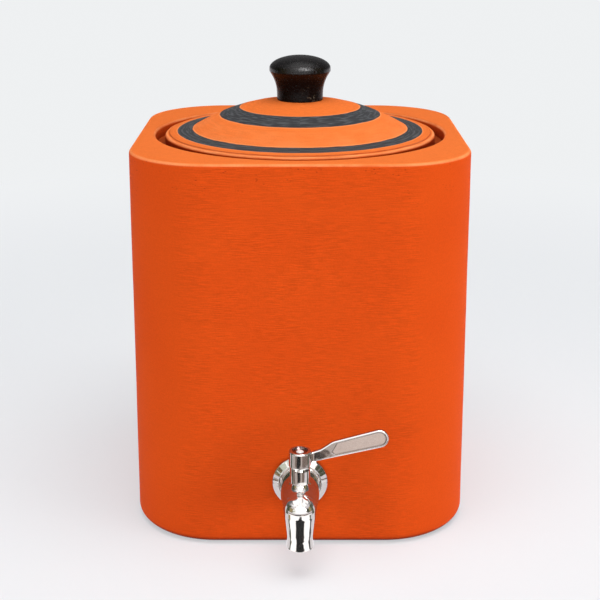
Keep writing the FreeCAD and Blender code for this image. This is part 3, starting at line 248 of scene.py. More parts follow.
node(tree, "OutputWorld", {"Surface": sky.outputs[0]})

for name, (place, size, power) in SOFTBOXES.items():
    lamp = bpy.data.lights.new(name, "AREA")
    lamp.shape = "RECTANGLE"
    lamp.size, lamp.size_y = size
    lamp.energy = power
    box = add_object(name, lamp)
    box.location = place
    box.rotation_euler = (BOXES_FACE - Vector(place)).to_track_quat("-Z", "Y").to_euler()
    box.visible_glossy = False


# --- Clay pot --------------------------------------------------------------------------------
# Square water pot of fired terracotta: four leaning walls with rounded corners, wiped smooth
# with a wet rag that left level streaks, and a turned round opening with a ledge for the lid.
MM = 0.001  # outlines are in millimetres
POT_STRAIGHT = 63.5  # half the straight part of each side, at every height
POT_CORNER = 61.5  # upright corner at the rim
POT_FLARE = 3.0  # each wall leans out this far at the base
POT_HEIGHT = 291.0
POT_WALL = 10.0
POT_FLOOR = 14.0
LEDGE = 282.0
OPENING_RADIUS = 112.0
LAND_INSIDE = OPENING_RADIUS + 3.2  # the flat top ends here, at the opening's soft edge
MOUTH_RADIUS = 97.0
LEDGE_THICKNESS = 11.0
WALL_WAVE = 0.16  # unevenness left by the hands
LONG_WAVE, SHORT_WAVE = 22, 60  # its waves per metre
WAVY_FROM = 0.105  # metres from the axis: nearer lies the opening, which was turned true
TRUE_ROUND_TAP = 0.03  # metres round the tap that stay true
AROUND = 360
PITTED = (0.245, 0.287)  # heights where pits begin to show and where most of them lie
FOOT_SHADE_HEIGHT = 0.012  # height of the painted shade along the foot, metres
CLAY = (0.605, 0.068, 0.0065, 1)
CLAY_DARK = (0.585, 0.063, 0.006, 1)
# dark clay for painted shade along the foot
CLAY_FOOT_SHADE = (0.45, 0.035, 0.002, 1)
# painted light: paler, yellower clay on faces that look up, as if lit from above
CLAY_LIT_TOP = (0.70, 0.150, 0.028, 1)
# pale clay: a painted highlight along rounded edges, and real wear beside the lid's bands
CLAY_HIGHLIGHT_AND_WORN = (0.86, 0.33, 0.13, 1)
# dark clay for painted shade in the pits and in the lid's step line
CLAY_PIT_SHADE = (0.22, 0.02, 0.002, 1)
# dark clay for painted shade: in the recess round the lid, in the lid's gap and under the base
CLAY_PAINTED_SHADE = (0.17, 0.018, 0.003, 1)


def rounded(corners, step=9):
    """Open outline through corners (across, up) or (across, up, radius), an arc at each radius."""
    points = []
    for index, corner in enumerate(corners):
        here = Vector(corner[:2])
        if len(corner) == 2:
            points.append(here)
            continue
        back = (Vector(corners[index - 1][:2]) - here).normalized()
        ahead = (Vector(corners[(index + 1) % len(corners)][:2]) - here).normalized()
        half = back.angle(ahead) / 2
        centre = here + (back + ahead).normalized() * corner[2] / math.sin(half)
        spoke = here + back * corner[2] / math.tan(half) - centre
        turn = (math.pi - 2 * half) * (-1 if back.cross(ahead) > 0 else 1)
        count = max(2, math.ceil(abs(math.degrees(turn)) / step))
        for part in range(count + 1):
            points.append(centre + Matrix.Rotation(turn * part / count, 2) @ spoke)
    return points


def divided(points, longest):
    """The same outline with its long runs cut into equal parts."""
    finer = [points[0]]
    for start, end in zip(points, points[1:]):
        parts = max(1, math.ceil((end - start).length / longest))
        finer += [start.lerp(end, part / parts) for part in range(1, parts + 1)]
    return finer


def ring_mesh(name, rings, turn=Matrix.Identity(3), origin=(0, 0, 0), closed=False):
    """Skin over rings (distances from the axis, height); a ring of zeros closes to a point."""
    count = len(rings[0][0])
    angles = np.arange(count) * 2 * math.pi / count
    vertices, rows = [], []
    for radii, height in rings:
        start = len(vertices)
        if max(radii) == 0:
            vertices.append((0, 0, height))
            rows.append([start] * count)
            continue
        vertices += zip(radii * np.cos(angles), radii * np.sin(angles), [height] * count)
        rows.append(list(range(start, start + count)))
    faces = []
    for low, high in zip(rows, rows[1:] + rows[:1] if closed else rows[1:]):
        for here in range(count):
            there = (here + 1) % count
            corners = (low[here], low[there], high[there], high[here])
            faces.append(tuple(dict.fromkeys(corners)))
    mesh = bpy.data.meshes.new(name)
    mesh.from_pydata(vertices, [], faces)
    mesh.transform(Matrix.Translation(origin) @ turn.to_4x4() @ Matrix.Scale(MM, 4))
    return mesh


def smooth(mesh, sharp=35):
    mesh.shade_smooth()
    mesh.set_sharp_from_angle(angle=math.radians(sharp))


def square_ring(angles, corner, straight=POT_STRAIGHT):
    """Distances from the axis to a square of that half straight, grown by the corner radius."""
    folded = np.abs((angles + math.pi / 4) % (math.pi / 2) - math.pi / 4)
    along = straight * (np.cos(folded) + np.sin(folded))
    across = straight * (np.cos(folded) - np.sin(folded))
    arc = along + np.sqrt(np.maximum(corner ** 2 - across ** 2, 0))
    flat = (straight + corner) / np.cos(folded)
    return np.where(np.tan(folded) * (straight + corner) <= straight, flat, arc)


def corner_at(height, inset=0.0):
    """Corner radius of the leaning wall at a height."""
    return POT_CORNER + POT_FLARE * (1 - height / POT_HEIGHT) - inset


angles = np.arange(AROUND) * 2 * math.pi / AROUND
zeros, ones = np.zeros(AROUND), np.ones(AROUND)
cavity_top = LEDGE - LEDGE_THICKNESS
outside = divided(rounded([
    (corner_at(0) - 24, 0), (corner_at(0), 0, 8), (corner_at(POT_HEIGHT), POT_HEIGHT, 3.5),
    (corner_at(POT_HEIGHT) - 3.7, POT_HEIGHT)]), 3.0)
opening = divided(rounded([
    (LAND_INSIDE, POT_HEIGHT), (OPENING_RADIUS, POT_HEIGHT, 3), (OPENING_RADIUS, LEDGE),
    (MOUTH_RADIUS, LEDGE, 2), (MOUTH_RADIUS, cavity_top), (MOUTH_RADIUS + 1, cavity_top)]), 2.5)
inside_top = corner_at(cavity_top, POT_WALL)
inside_foot = corner_at(POT_FLOOR, POT_WALL)
inside = divided(rounded([
    (inside_top - 0.5, cavity_top), (inside_top, cavity_top), (inside_foot, POT_FLOOR, 8),
    (inside_foot - 20, POT_FLOOR)]), 8.0)
rings = [(zeros, 0)]
rings += [(square_ring(angles, point.x), point.y) for point in outside]
land = rings[-1][0]
for share in (0.15, 0.3, 0.5, 0.7, 0.85):
    rings.append((land * (1 - share) + ones * LAND_INSIDE * share, POT_HEIGHT))
rings += [(ones * point.x, point.y) for point in opening]
under = ones * (MOUTH_RADIUS + 1)
for share in (0.3, 0.7):
    rings.append((under * (1 - share) + square_ring(angles, inside[0].x) * share, cavity_top))
rings += [(square_ring(angles, point.x), point.y) for point in inside]
rings.append((zeros, POT_FLOOR))
pot = add_object("pot_body", ring_mesh("pot_body", rings))
for vertex in pot.data.vertices:
    place = vertex.co
    wave = noise.noise(place * LONG_WAVE) + 0.5 * noise.noise(place * SHORT_WAVE + Vector((7, 0, 0)))
    near_tap = Vector((place.x, place.z - TAP_AXIS[2])).length < TRUE_ROUND_TAP and place.y < 0
    low = max(0, min(1, (place.z - 0.01) / 0.03))
    depth = 0 if near_tap else WALL_WAVE * MM * low * (0.7 - wave)
    inward = Vector((-place.x, -place.y, 0))
    if inward.length > WAVY_FROM and depth > 0:
        place += inward.normalized() * depth


def finished_mesh(made):
    """A new mesh of the object as its modifiers leave it."""
    bpy.context.view_layer.update()
    evaluated = made.evaluated_get(bpy.context.evaluated_depsgraph_get())
    return bpy.data.meshes.new_from_object(evaluated)


def bore(target, name, rings_of_tool, turn, origin):
    """Cut a round tool out of a piece."""
    tool = add_object(name, ring_mesh(name, rings_of_tool, turn, origin))
    cut = target.modifiers.new(name, "BOOLEAN")
    cut.object = tool
    cut.solver = "EXACT"
    cut_mesh = finished_mesh(target)
    target.modifiers.clear()
    target.data = cut_mesh
    bpy.data.objects.remove(tool)


# The drill and the two grinding wheels that true the wall for the gaskets, from the front.
WALL_FACE = 127.46
SPOT_FACE = 0.8
SPOT_RADIUS = 18.6
WHEEL_THICKNESS = 12
TAP_HOLE = 9.0
TO_FRONT = Matrix.Rotation(math.radians(90), 3, "X")
around_tool = np.ones(96)
seat_outside = WALL_FACE - SPOT_FACE
seat_inside = WALL_FACE - POT_WALL + SPOT_FACE
drill = [(0, seat_inside - WHEEL_THICKNESS), (SPOT_RADIUS, seat_inside - WHEEL_THICKNESS),
         (SPOT_RADIUS, seat_inside), (TAP_HOLE, seat_inside), (TAP_HOLE, seat_outside),
         (SPOT_RADIUS, seat_outside), (SPOT_RADIUS, seat_outside + WHEEL_THICKNESS),
         (0, seat_outside + WHEEL_THICKNESS)]
drill_rings = [(around_tool * radius, height) for radius, height in drill]
bore(pot, "tap_hole", drill_rings, TO_FRONT, (0, 0, TAP_AXIS[2]))
smooth(pot.data)


def fired_clay(name):
    """Terracotta with painted light: paler where it faces up, and painted highlights on round edges."""
    material, tree, shader = new_material(name, Roughness=0.7, Specular_IOR_Level=0.04)
    place = node(tree, "TexCoord").outputs["Object"]
    facing_up = split(tree, node(tree, "NewGeometry").outputs["Normal"])[2]
    grain = noise_at(tree, place, 950.0, 3.0)
    colour = blend(tree, ramp(tree, noise_at(tree, place, 16.0), 0.3, 0.7), CLAY_DARK, CLAY)
    colour = blend(tree, ramp(tree, facing_up, 0.25, 0.9), colour, CLAY_LIT_TOP)
    # painted highlight along rounded edges that face half up
    edge_highlight = ramp(tree, noise_at(tree, place, 60.0, 4.0), 0.3, 0.7, 0.2, 0.6)
    edge_highlight = maths(tree, "MULTIPLY", edge_highlight, between(tree, facing_up, 0.4, 0.85, 0.12))
    colour = blend(tree, edge_highlight, colour, CLAY_HIGHLIGHT_AND_WORN)
    colour = blend(tree, 1.0, colour, ramp(tree, grain, 0.25, 0.75, 0.95, 1.05), "MULTIPLY")
    return material, tree, shader, place, facing_up, colour, grain


def set_surface(tree, shader, colour, relief, depth, strength=0.8):
    """Give a shader its colour, and a relief so many metres deep."""
    tree.links.new(colour, shader.inputs["Base Color"])
    bump = node(tree, "Bump", {"Height": relief, "Distance": depth, "Strength": strength}).outputs[0]
    tree.links.new(bump, shader.inputs["Normal"])


pot_clay, tree, shader, place, facing_up, colour, grain = fired_clay("wiped_terracotta")
drift = node(tree, "TexNoise", {"Vector": place, "Scale": 25.0}).outputs[1]
drift = node(tree, "VectorMath", {0: drift, "Scale": 0.0004}, operation="SCALE").outputs[0]
wiped = node(tree, "VectorMath", {0: place, 1: drift}, operation="ADD").outputs[0]
wiped = node(tree, "Mapping", {"Vector": wiped, "Scale": (110, 110, 1600)}).outputs[0]
streaks = noise_at(tree, wiped, 1.0, 2.0)
strong = ramp(tree, noise_at(tree, place, 40.0), 0.40, 0.60, 0.5, 1.0)
facing = node(tree, "NewGeometry").outputs["Normal"]
facing = split(tree, node(tree, "VectorMath", {0: facing}, operation="ABSOLUTE").outputs[0])
on_flat = ramp(tree, maths(tree, "MAXIMUM", facing[0], facing[1]), 0.88, 0.98, 0.15, 1.0)
strong = maths(tree, "MULTIPLY", strong, on_flat)
streak_tone = blend(tree, strong, (1, 1, 1, 1), ramp(tree, streaks, 0.36, 0.64, 0.89, 1.08))
colour = blend(tree, 1.0, colour, streak_tone, "MULTIPLY")
x, y, height_up = split(tree, place)
pit_field = node(tree, "Mapping", {"Vector": place, "Scale": (300, 300, 700)}).outputs[0]
pit_field = node(tree, "TexVoronoi", {"Vector": pit_field, "Scale": 1.0}).outputs["Distance"]
pits = maths(tree, "MULTIPLY", ramp(tree, pit_field, 0.32, 0.12),
             ramp(tree, noise_at(tree, place, 110.0), 0.56, 0.64))
pits = maths(tree, "MULTIPLY", pits, ramp(tree, height_up, *PITTED, 0.08, 0.65))
pits = maths(tree, "MULTIPLY", pits, ramp(tree, facing_up, 0.6, 0.3))
# Painted shade: the pits are darkened in colour, as well as sunk in the relief.
colour = blend(tree, pits, colour, CLAY_PIT_SHADE)
# Painted shade in the recess that holds the lid, and on its ledge.
in_opening = ramp(tree, length(tree, x, y), (OPENING_RADIUS + 0.5) * MM, (OPENING_RADIUS - 0.5) * MM)
round_ledge = between(tree, height_up, (cavity_top - 1) * MM, (LEDGE + 2.5) * MM, 0.002)
recess_shade = maths(tree, "MULTIPLY", in_opening, round_ledge)
colour = blend(tree, maths(tree, "MULTIPLY", recess_shade, 0.85), colour, CLAY_PAINTED_SHADE)
# Painted shade: darker towards the bottom, darkest on faces that turn down to the table.
colour = blend(tree, ramp(tree, height_up, FOOT_SHADE_HEIGHT, 0.0, 0.0, 0.3), colour, CLAY_FOOT_SHADE)
colour = blend(tree, ramp(tree, facing_up, -0.2, -0.75), colour, CLAY_PAINTED_SHADE)
relief = maths(tree, "SUBTRACT", maths(tree, "MULTIPLY", grain, 0.3), pits)
relief = maths(tree, "ADD", relief, maths(tree, "MULTIPLY", streaks, strong))
set_surface(tree, shader, colour, relief, 0.0003)
pot.data.materials.append(pot_clay)
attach(pot, "pot")
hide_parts("clay_pot")


# --- Clay lid --------------------------------------------------------------------------------
# Lid of the same clay, turned on a wheel, with two charcoal bands painted while it still spun.
# Its rim rests on the pot's ledge and a ring under it keeps it centred in the mouth.
LID_RIM = 104.7
RIM_THICKNESS = 9.0
RIM_STEP = 101.4  # where the turning tool left a shallow step round the rim
SCREW_HOLE = 3.2
DOME_FOOT = (84.0, 11.6)
DOME_SHOULDER = (53.5, 28.5)
KNOB_LAND = (19.0, 33.5)
LID_WALL = 8.0
DOME_CURVE = 149.5
RING_OUTSIDE = 95.0
RING_INSIDE = 87.0
RING_DEPTH = 10.0
OUTER_BAND = (0.0834, 0.0950)
INNER_BAND = (0.0467, 0.0622)
HALO = 0.0008  # clay rubbed pale on each side of a band
BAND_COLOUR = (0.031, 0.032, 0.034, 1)
BAND_WORN = (0.082, 0.084, 0.090, 1)
lid_outline = rounded([
    (SCREW_HOLE, KNOB_LAND[1] - LID_WALL), (10.2, KNOB_LAND[1] - LID_WALL),
    (DOME_SHOULDER[0], DOME_SHOULDER[1] - LID_WALL, DOME_CURVE - LID_WALL),
    (RING_INSIDE, DOME_FOOT[1] - LID_WALL, 3), (RING_INSIDE, -RING_DEPTH, 1.5),
    (RING_OUTSIDE, -RING_DEPTH, 1.5), (RING_OUTSIDE, 0), (LID_RIM, 0, 1.5),
    (LID_RIM, RIM_THICKNESS, 2.5), (RIM_STEP, RIM_THICKNESS + 0.1),
    (RIM_STEP - 0.4, RIM_THICKNESS + 0.8), (*DOME_FOOT, 3), (*DOME_SHOULDER, DOME_CURVE),
    KNOB_LAND, (SCREW_HOLE, KNOB_LAND[1])], 5)
lid_rings = [(ones * point.x, point.y) for point in divided(lid_outline + lid_outline[:1], 1.5)[:-1]]
lid_mesh = ring_mesh("lid_turned", lid_rings, origin=(0, 0, LEDGE * MM), closed=True)
lid = add_object("lid_turned", lid_mesh)
smooth(lid.data)
lid_clay, tree, shader, place, facing_up, colour, grain = fired_clay("turned_terracotta")
x, y, height_up = split(tree, place)
from_axis = length(tree, x, y)
ragged = ramp(tree, noise_at(tree, place, 90.0), 0.0, 1.0, -0.0003, 0.0003)
ragged_edge = maths(tree, "ADD", from_axis, ragged)
turning = node(tree, "CombineXYZ", {"X": from_axis, "Y": maths(tree, "ARCTAN2", x, y)}).outputs[0]
turning = node(tree, "Mapping", {"Vector": turning, "Scale": (620, 5, 1)}).outputs[0]
marks = noise_at(tree, turning, 1.0, 3.0)
colour = blend(tree, 1.0, colour, ramp(tree, marks, 0.28, 0.72, 0.95, 1.05), "MULTIPLY")
# Painted shade on the lid's rim side, in the gap between lid and pot.
gap_shade = maths(tree, "MULTIPLY", ramp(tree, from_axis, (LID_RIM - 1.7) * MM, (LID_RIM - 0.3) * MM),
               ramp(tree, height_up, (LEDGE + 8.3) * MM, (LEDGE + 6.5) * MM))
colour = blend(tree, maths(tree, "MULTIPLY", gap_shade, 0.8), colour, CLAY_PAINTED_SHADE)
upper_side = ramp(tree, height_up, (LEDGE + 8) * MM, (LEDGE + 8.5) * MM)
shadow_line = between(tree, ragged_edge, (RIM_STEP - 0.5) * MM, (RIM_STEP + 0.3) * MM, 0.0003)
shadow_line = maths(tree, "MULTIPLY", shadow_line, maths(tree, "MULTIPLY", upper_side, 0.5))
colour = blend(tree, shadow_line, colour, CLAY_PIT_SHADE)
# Painted highlight: a pale, broken line along the rim's edge.
lip_highlight = between(tree, ragged_edge, (LID_RIM - 2.2) * MM, (LID_RIM - 0.9) * MM, 0.0004)
lip_highlight = maths(tree, "MULTIPLY", lip_highlight, ramp(tree, marks, 0.35, 0.6, 0.1, 0.6))
colour = blend(tree, maths(tree, "MULTIPLY", lip_highlight, upper_side), colour, CLAY_HIGHLIGHT_AND_WORN)
painted = 0.0
rubbed_edge = 0.0
for low, high in (OUTER_BAND, INNER_BAND):
    painted = maths(tree, "MAXIMUM", painted, between(tree, ragged_edge, low, high, 0.0002))
    halo = between(tree, ragged_edge, low - HALO, high + HALO, 0.0003)
    rubbed_edge = maths(tree, "MAXIMUM", rubbed_edge, halo)
painted = maths(tree, "MULTIPLY", painted, upper_side)
rubbed_edge = maths(tree, "MULTIPLY", maths(tree, "MULTIPLY", rubbed_edge, upper_side), 0.45)
band_colour = blend(tree, ramp(tree, marks, 0.42, 0.72), BAND_COLOUR, BAND_WORN)
colour = blend(tree, painted, blend(tree, rubbed_edge, colour, CLAY_HIGHLIGHT_AND_WORN), band_colour)
tree.links.new(ramp(tree, painted, 0.0, 1.0, 0.8, 0.65), shader.inputs["Roughness"])
set_surface(tree, shader, colour, maths(tree, "ADD", marks, grain), 0.00015)
lid.data.materials.append(lid_clay)
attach(lid, "lid")
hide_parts("clay_lid")


# --- Lid knob --------------------------------------------------------------------------------
# Turned wooden knob in black lacquer, with open grain that shows as pits, screwed on from under
# the lid. Hands have polished the cap, and the neck below it has stayed duller.
KNOB_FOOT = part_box("lid_knob")[0].z
KNOB_CAP = (23.6, 9.8)  # half the cap's width, and its rise from where it is widest
CAP_WIDEST = 24.0
NECK_GLOSS, CAP_GLOSS = 0.07, 0.22
LACQUER, LACQUER_THIN = (0.002, 0.0015, 0.0015, 1), (0.006, 0.004, 0.004, 1)
KNOB_DUST = (0.12, 0.10, 0.07, 1)
knob_outline = rounded([
    (0, 0), (17.7, 0, 0.7), (18.0, 13.6, 28), (KNOB_CAP[0], 22.0, 2.5), (KNOB_CAP[0], CAP_WIDEST)], 6)
knob_outline += [Vector((KNOB_CAP[0] * math.cos(turn), CAP_WIDEST + KNOB_CAP[1] * math.sin(turn)))
                 for turn in np.linspace(0.06, math.pi / 2, 24)[:-1]]
knob_outline.append(Vector((0, CAP_WIDEST + KNOB_CAP[1])))
knob_rings = [(np.ones(192) * point.x, point.y) for point in divided(knob_outline, 0.8)]
knob = add_object("knob_turned", ring_mesh("knob_turned", knob_rings, origin=(0, 0, KNOB_FOOT)))
smooth(knob.data)
lacquer, tree, shader = new_material("black_lacquer")
place = node(tree, "TexCoord").outputs["Object"]
grain = noise_at(tree, place, 700.0, 4.0)
pores = node(tree, "TexVoronoi", {"Vector": place, "Scale": 420.0}).outputs["Distance"]
pores = maths(tree, "MULTIPLY", ramp(tree, pores, 0.28, 0.12),
              ramp(tree, noise_at(tree, place, 210.0), 0.45, 0.55))
slanted = {"Vector": place, "Rotation": (0, 0.8, 0), "Scale": (1500, 1500, 600)}
dust = noise_at(tree, node(tree, "Mapping", slanted).outputs[0], 1.0)
x, _, height_up = split(tree, place)
dusty = ramp(tree, noise_at(tree, place, 110.0, 3.0), 0.42, 0.58)
low_down = ramp(tree, height_up, KNOB_FOOT + 0.014, KNOB_FOOT + 0.007)
dusty = maths(tree, "MULTIPLY", dusty, maths(tree, "MULTIPLY", low_down, ramp(tree, x, -0.002, 0.006)))
dust = maths(tree, "MULTIPLY", ramp(tree, dust, 0.58, 0.66), dusty)
colour = blend(tree, ramp(tree, grain, 0.4, 0.8), LACQUER, LACQUER_THIN)
colour = blend(tree, dust, colour, KNOB_DUST)
polish = ramp(tree, height_up, KNOB_FOOT + 0.015, KNOB_FOOT + 0.023, NECK_GLOSS, CAP_GLOSS)
tree.links.new(polish, shader.inputs["Specular IOR Level"])
tree.links.new(ramp(tree, grain, 0.2, 0.8, 0.18, 0.36), shader.inputs["Roughness"])
relief = maths(tree, "SUBTRACT", maths(tree, "MULTIPLY", grain, 0.6), pores)
set_surface(tree, shader, colour, relief, 0.0004)
knob.data.materials.append(lacquer)
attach(knob, "lid")
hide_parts("lid_knob")


# --- Wall flange -----------------------------------------------------------------------------
# Pressed escutcheon of chromed steel that covers the drilled hole. The lock nut inside the pot
# draws it against the wall, over a rubber gasket.
FLANGE_BACK = 128.66
FLANGE_RADIUS = 20.4
FLANGE_EDGE = 1.3
FLANGE_FACE = 16.0  # the bevel meets the flat face here
FLANGE_THICKNESS = 4.0
SHANK_HOLE = 8.1
CHROME, CHROME_FILMED = (0.45, 0.425, 0.41, 1), (0.50, 0.48, 0.465, 1)


def chrome(name):
    """Bright plate over polished metal, with the faint waviness that polishing leaves."""
    material, tree, shader = new_material(name, Metallic=0.95)
    place = node(tree, "TexCoord").outputs["Object"]
    wave = noise_at(tree, place, 160.0, 1.0)
    film = noise_at(tree, place, 420.0, 4.0)
    colour = blend(tree, film, CHROME, CHROME_FILMED)
    rough = ramp(tree, film, 0.3, 0.75, 0.025, 0.05)
    tree.links.new(rough, shader.inputs["Roughness"])
    set_surface(tree, shader, colour, wave, 0.0003, 0.2)
    return material, tree, shader, place, colour, rough


bright_plate = chrome("bright_plate")[0]
flange_outline = rounded([
    (SHANK_HOLE, 0), (FLANGE_RADIUS, 0), (FLANGE_RADIUS, FLANGE_EDGE, 0.5),
    (FLANGE_FACE, FLANGE_THICKNESS, 0.5), (SHANK_HOLE, FLANGE_THICKNESS)], 8)
flange_rings = [(np.ones(160) * point.x, point.y) for point in divided(flange_outline, 1.0)]
flange_origin = (0, -FLANGE_BACK * MM, TAP_AXIS[2])
flange_mesh = ring_mesh("flange_plate", flange_rings, TO_FRONT, flange_origin, closed=True)
flange = add_object("flange_plate", flange_mesh)
smooth(flange.data)
flange.data.materials.append(bright_plate)
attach(flange, "pot")
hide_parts("wall_flange")


# --- Tap body --------------------------------------------------------------------------------
# One chromed casting: a tapering barrel that ends in a ball, a waisted spout below it and a
# threaded neck on top. Polished all over, so its parts run into each other with soft curves.
BARREL_RADIUS = 14.2
BULB_RADIUS = 11.6
SPOUT_AHEAD = 12.0
BARREL_REAR = 24.7
NECK_RADIUS = 5.8
NECK_FLARE = 5.5
CROWN_TOP = 14.0  # the ball's crown falls away from the neck from here
CROWN_SLOPE = math.radians(27)
NECK_TOP = 23.8
LIP = -29.4
LIP_RADIUS = 9.9
FAR = 99.0  # more than any distance on the tap


def smooth_min(first, second, blend_width):
    share = np.clip(1 - np.abs(first - second) / blend_width, 0, 1)
    return np.minimum(first, second) - blend_width * share * share / 4


def smooth_max(first, second, blend_width):
    return -smooth_min(-first, -second, blend_width)


def eased(value, low, high):
    share = np.clip((value - low) / (high - low), 0, 1)
    return share * share * (3 - 2 * share)


def points_from(mesh, origin):
    """A mesh's points, in millimetres from an origin."""
    flat = np.zeros(len(mesh.vertices) * 3)
    mesh.vertices.foreach_get("co", flat)
    return flat.reshape(-1, 3) / MM - np.array(origin) / MM


def cast_skin(name, node_name, origin, form, grid, reach_at, passes=6):
    """Fine skin over a CAD piece, drawn onto a form that gives each point its distance in mm."""
    raw = bmesh.new()
    raw.from_mesh(frame["nodes"][node_name].data)
    bmesh.ops.remove_doubles(raw, verts=raw.verts, dist=0.01 * MM)
    start = bpy.data.meshes.new(name)
    raw.to_mesh(start)
    raw.free()
    made = add_object(name, start)
    regular = made.modifiers.new("regular", "REMESH")
    regular.mode = "VOXEL"
    regular.voxel_size = grid * MM
    skin = finished_mesh(made)
    made.modifiers.clear()
    made.data = skin
    points = points_from(skin, origin)
    reach = reach_at(points)
    for _ in range(passes):
        distance = form(points)
        slope = np.stack([form(points + shift) - form(points - shift)
                          for shift in np.eye(3) * 0.02], axis=1) / 0.04
        steep = np.maximum((slope ** 2).sum(axis=1), 0.2)
        move = np.where(np.abs(distance) < reach, distance, 0) / steep
        points -= slope * move[:, None]
    skin.vertices.foreach_set("co", ((points + np.array(origin) / MM) * MM).ravel())
    skin.update()
    smooth(skin, 45)
    return made


spout_side = divided(rounded([
    (LIP - 4, LIP_RADIUS), (LIP, LIP_RADIUS), (-20, 9.2, 16), (-4, BULB_RADIUS, 16),
    (0, BULB_RADIUS)], 4), 0.5)
spout_heights = np.array([point.x for point in spout_side])
spout_radii = np.array([point.y for point in spout_side])


def tap_form(points):
    """Distance to the casting's outside; origin on the stem's axis at the height of the barrel."""
    x, y, z = points.T
    taper = BULB_RADIUS + (BARREL_RADIUS - BULB_RADIUS) * eased(y, -SPOUT_AHEAD - 6, 15)
    ahead = np.minimum(y + SPOUT_AHEAD, 0)
    barrel = np.sqrt(x ** 2 + z ** 2 + ahead ** 2) - np.where(ahead < 0, BULB_RADIUS, taper)
    side = np.interp(z, spout_heights, spout_radii)
    above = np.maximum(z, 0)
    spout = np.sqrt(x ** 2 + (y + SPOUT_AHEAD) ** 2 + above ** 2) - np.where(z > 0, BULB_RADIUS, side)
    elbow = 0.01 + 5.0 * eased(y, -SPOUT_AHEAD, 2)
    form = smooth_min(barrel, spout, elbow)
    fall = (np.hypot(x, y) - NECK_RADIUS) * math.tan(CROWN_SLOPE) + np.maximum(y, 0) * -FAR
    crown = (z - CROWN_TOP + fall) * math.cos(CROWN_SLOPE)
    form = smooth_max(form, crown, 2.0)
    neck = np.maximum(np.hypot(x, y) - NECK_RADIUS, -z)
    form = smooth_min(form, neck, NECK_FLARE)
    form = smooth_max(form, y - BARREL_REAR, 0.8)
    form = smooth_max(form, LIP - z, 0.9)
    return np.maximum(form, z - NECK_TOP)


def tap_reach(points):
    """How far a point may lie from the casting's outside: further on the neck's flare and crown."""
    x, y, z = points.T
    on_shoulder = (z > 6) & (np.hypot(x, y) > NECK_RADIUS - 0.5)
    from_ball = np.sqrt(x ** 2 + (y + SPOUT_AHEAD) ** 2 + z ** 2)
    on_crown = (z > 2) & (from_ball > BULB_RADIUS - 0.7) & (y < 0)
    return np.where(on_crown, 3.0, np.where(on_shoulder, NECK_FLARE / 4 + 0.1, 0.9))


casting = cast_skin("tap_casting", "tap_body", TAP_AXIS, tap_form, 0.4, tap_reach)
casting.data.materials.append(bright_plate)
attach(casting, "pot")
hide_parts("tap_body")


# --- Lever -----------------------------------------------------------------------------------
# Chromed casting: a round hub on the stem's square, and an arm that rises into a flat upright
# blade. The blade's recessed panel is bare and satin, and a lug under the hub meets the stops.
HUB_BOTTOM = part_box("lever_handle")[0].z / MM + 2.0
HUB_RADIUS = 7.95
HUB_HEIGHT = 12.1
DISH_RADIUS = 5.65
DISH_FLOOR = 10.9
BUTTON_HOLE = (4.65, 9.9)  # its radius and the height of its floor
BLADE_START = (22.0, 12.6)  # the arm becomes the blade here, out from the stem and up
BLADE_TILT = math.radians(14.2)
BLADE_LENGTH = 41.6
BLADE_HALF = (6.0, 6.95)  # half the blade's height at its start and at its tip
BLADE_SIDE = 1.5  # half its thickness
TIP_RADIUS = 6.6
PANEL_RIM = 1.7
PANEL_DEPTH = 0.7
SATIN = (0.44, 0.365, 0.325, 1)
# painted shade along the sunken panel's edge; DISH_SHADE is painted shade in the dish
PANEL_CORNER_SHADE = (0.05, 0.035, 0.03, 1)
DISH_SHADE = (0.26, 0.20, 0.19, 1)


def along_blade(run, side, *radius):
    """Corner at a run along the blade's middle line and a distance above it."""
    across = BLADE_START[0] + run * math.cos(BLADE_TILT) - side * math.sin(BLADE_TILT)
    up = BLADE_START[1] + run * math.sin(BLADE_TILT) + side * math.cos(BLADE_TILT)
    return (across, up, *radius)


root = (DISH_RADIUS + HUB_RADIUS) / 2
blade_outline = rounded([
    (root, 2.9), along_blade(0, -BLADE_HALF[0]), along_blade(BLADE_LENGTH, -BLADE_HALF[1], TIP_RADIUS),
    along_blade(BLADE_LENGTH, BLADE_HALF[1], TIP_RADIUS), along_blade(2.5, BLADE_HALF[0], 12),
    (14.3, 12.9, 12), (root, 10.4)], 9)
panel_outline = rounded([
    along_blade(0, -1.7), along_blade(2, PANEL_RIM - BLADE_HALF[0]),
    along_blade(BLADE_LENGTH - PANEL_RIM, PANEL_RIM - BLADE_HALF[1], TIP_RADIUS - PANEL_RIM),
    along_blade(BLADE_LENGTH - PANEL_RIM, BLADE_HALF[1] - PANEL_RIM, TIP_RADIUS - PANEL_RIM),
    along_blade(5.5, BLADE_HALF[0] - PANEL_RIM)], 9)


def flat_distance(across, up, outline):
    """Distance from points in the blade's plane to a closed outline, less than zero inside."""
    nearest = np.full(len(across), FAR)
    inside = np.zeros(len(across), bool)
    for start, end in zip(outline, outline[1:] + outline[:1]):
        run, rise = end.x - start.x, end.y - start.y
        aside, over = across - start.x, up - start.y
        share = np.clip((aside * run + over * rise) / (run ** 2 + rise ** 2), 0, 1)
        nearest = np.minimum(nearest, np.hypot(aside - share * run, over - share * rise))
        if rise:
            crosses = (start.y > up) != (end.y > up)
            inside ^= crosses & (across < start.x + over * run / rise)
    return np.where(inside, -nearest, nearest)


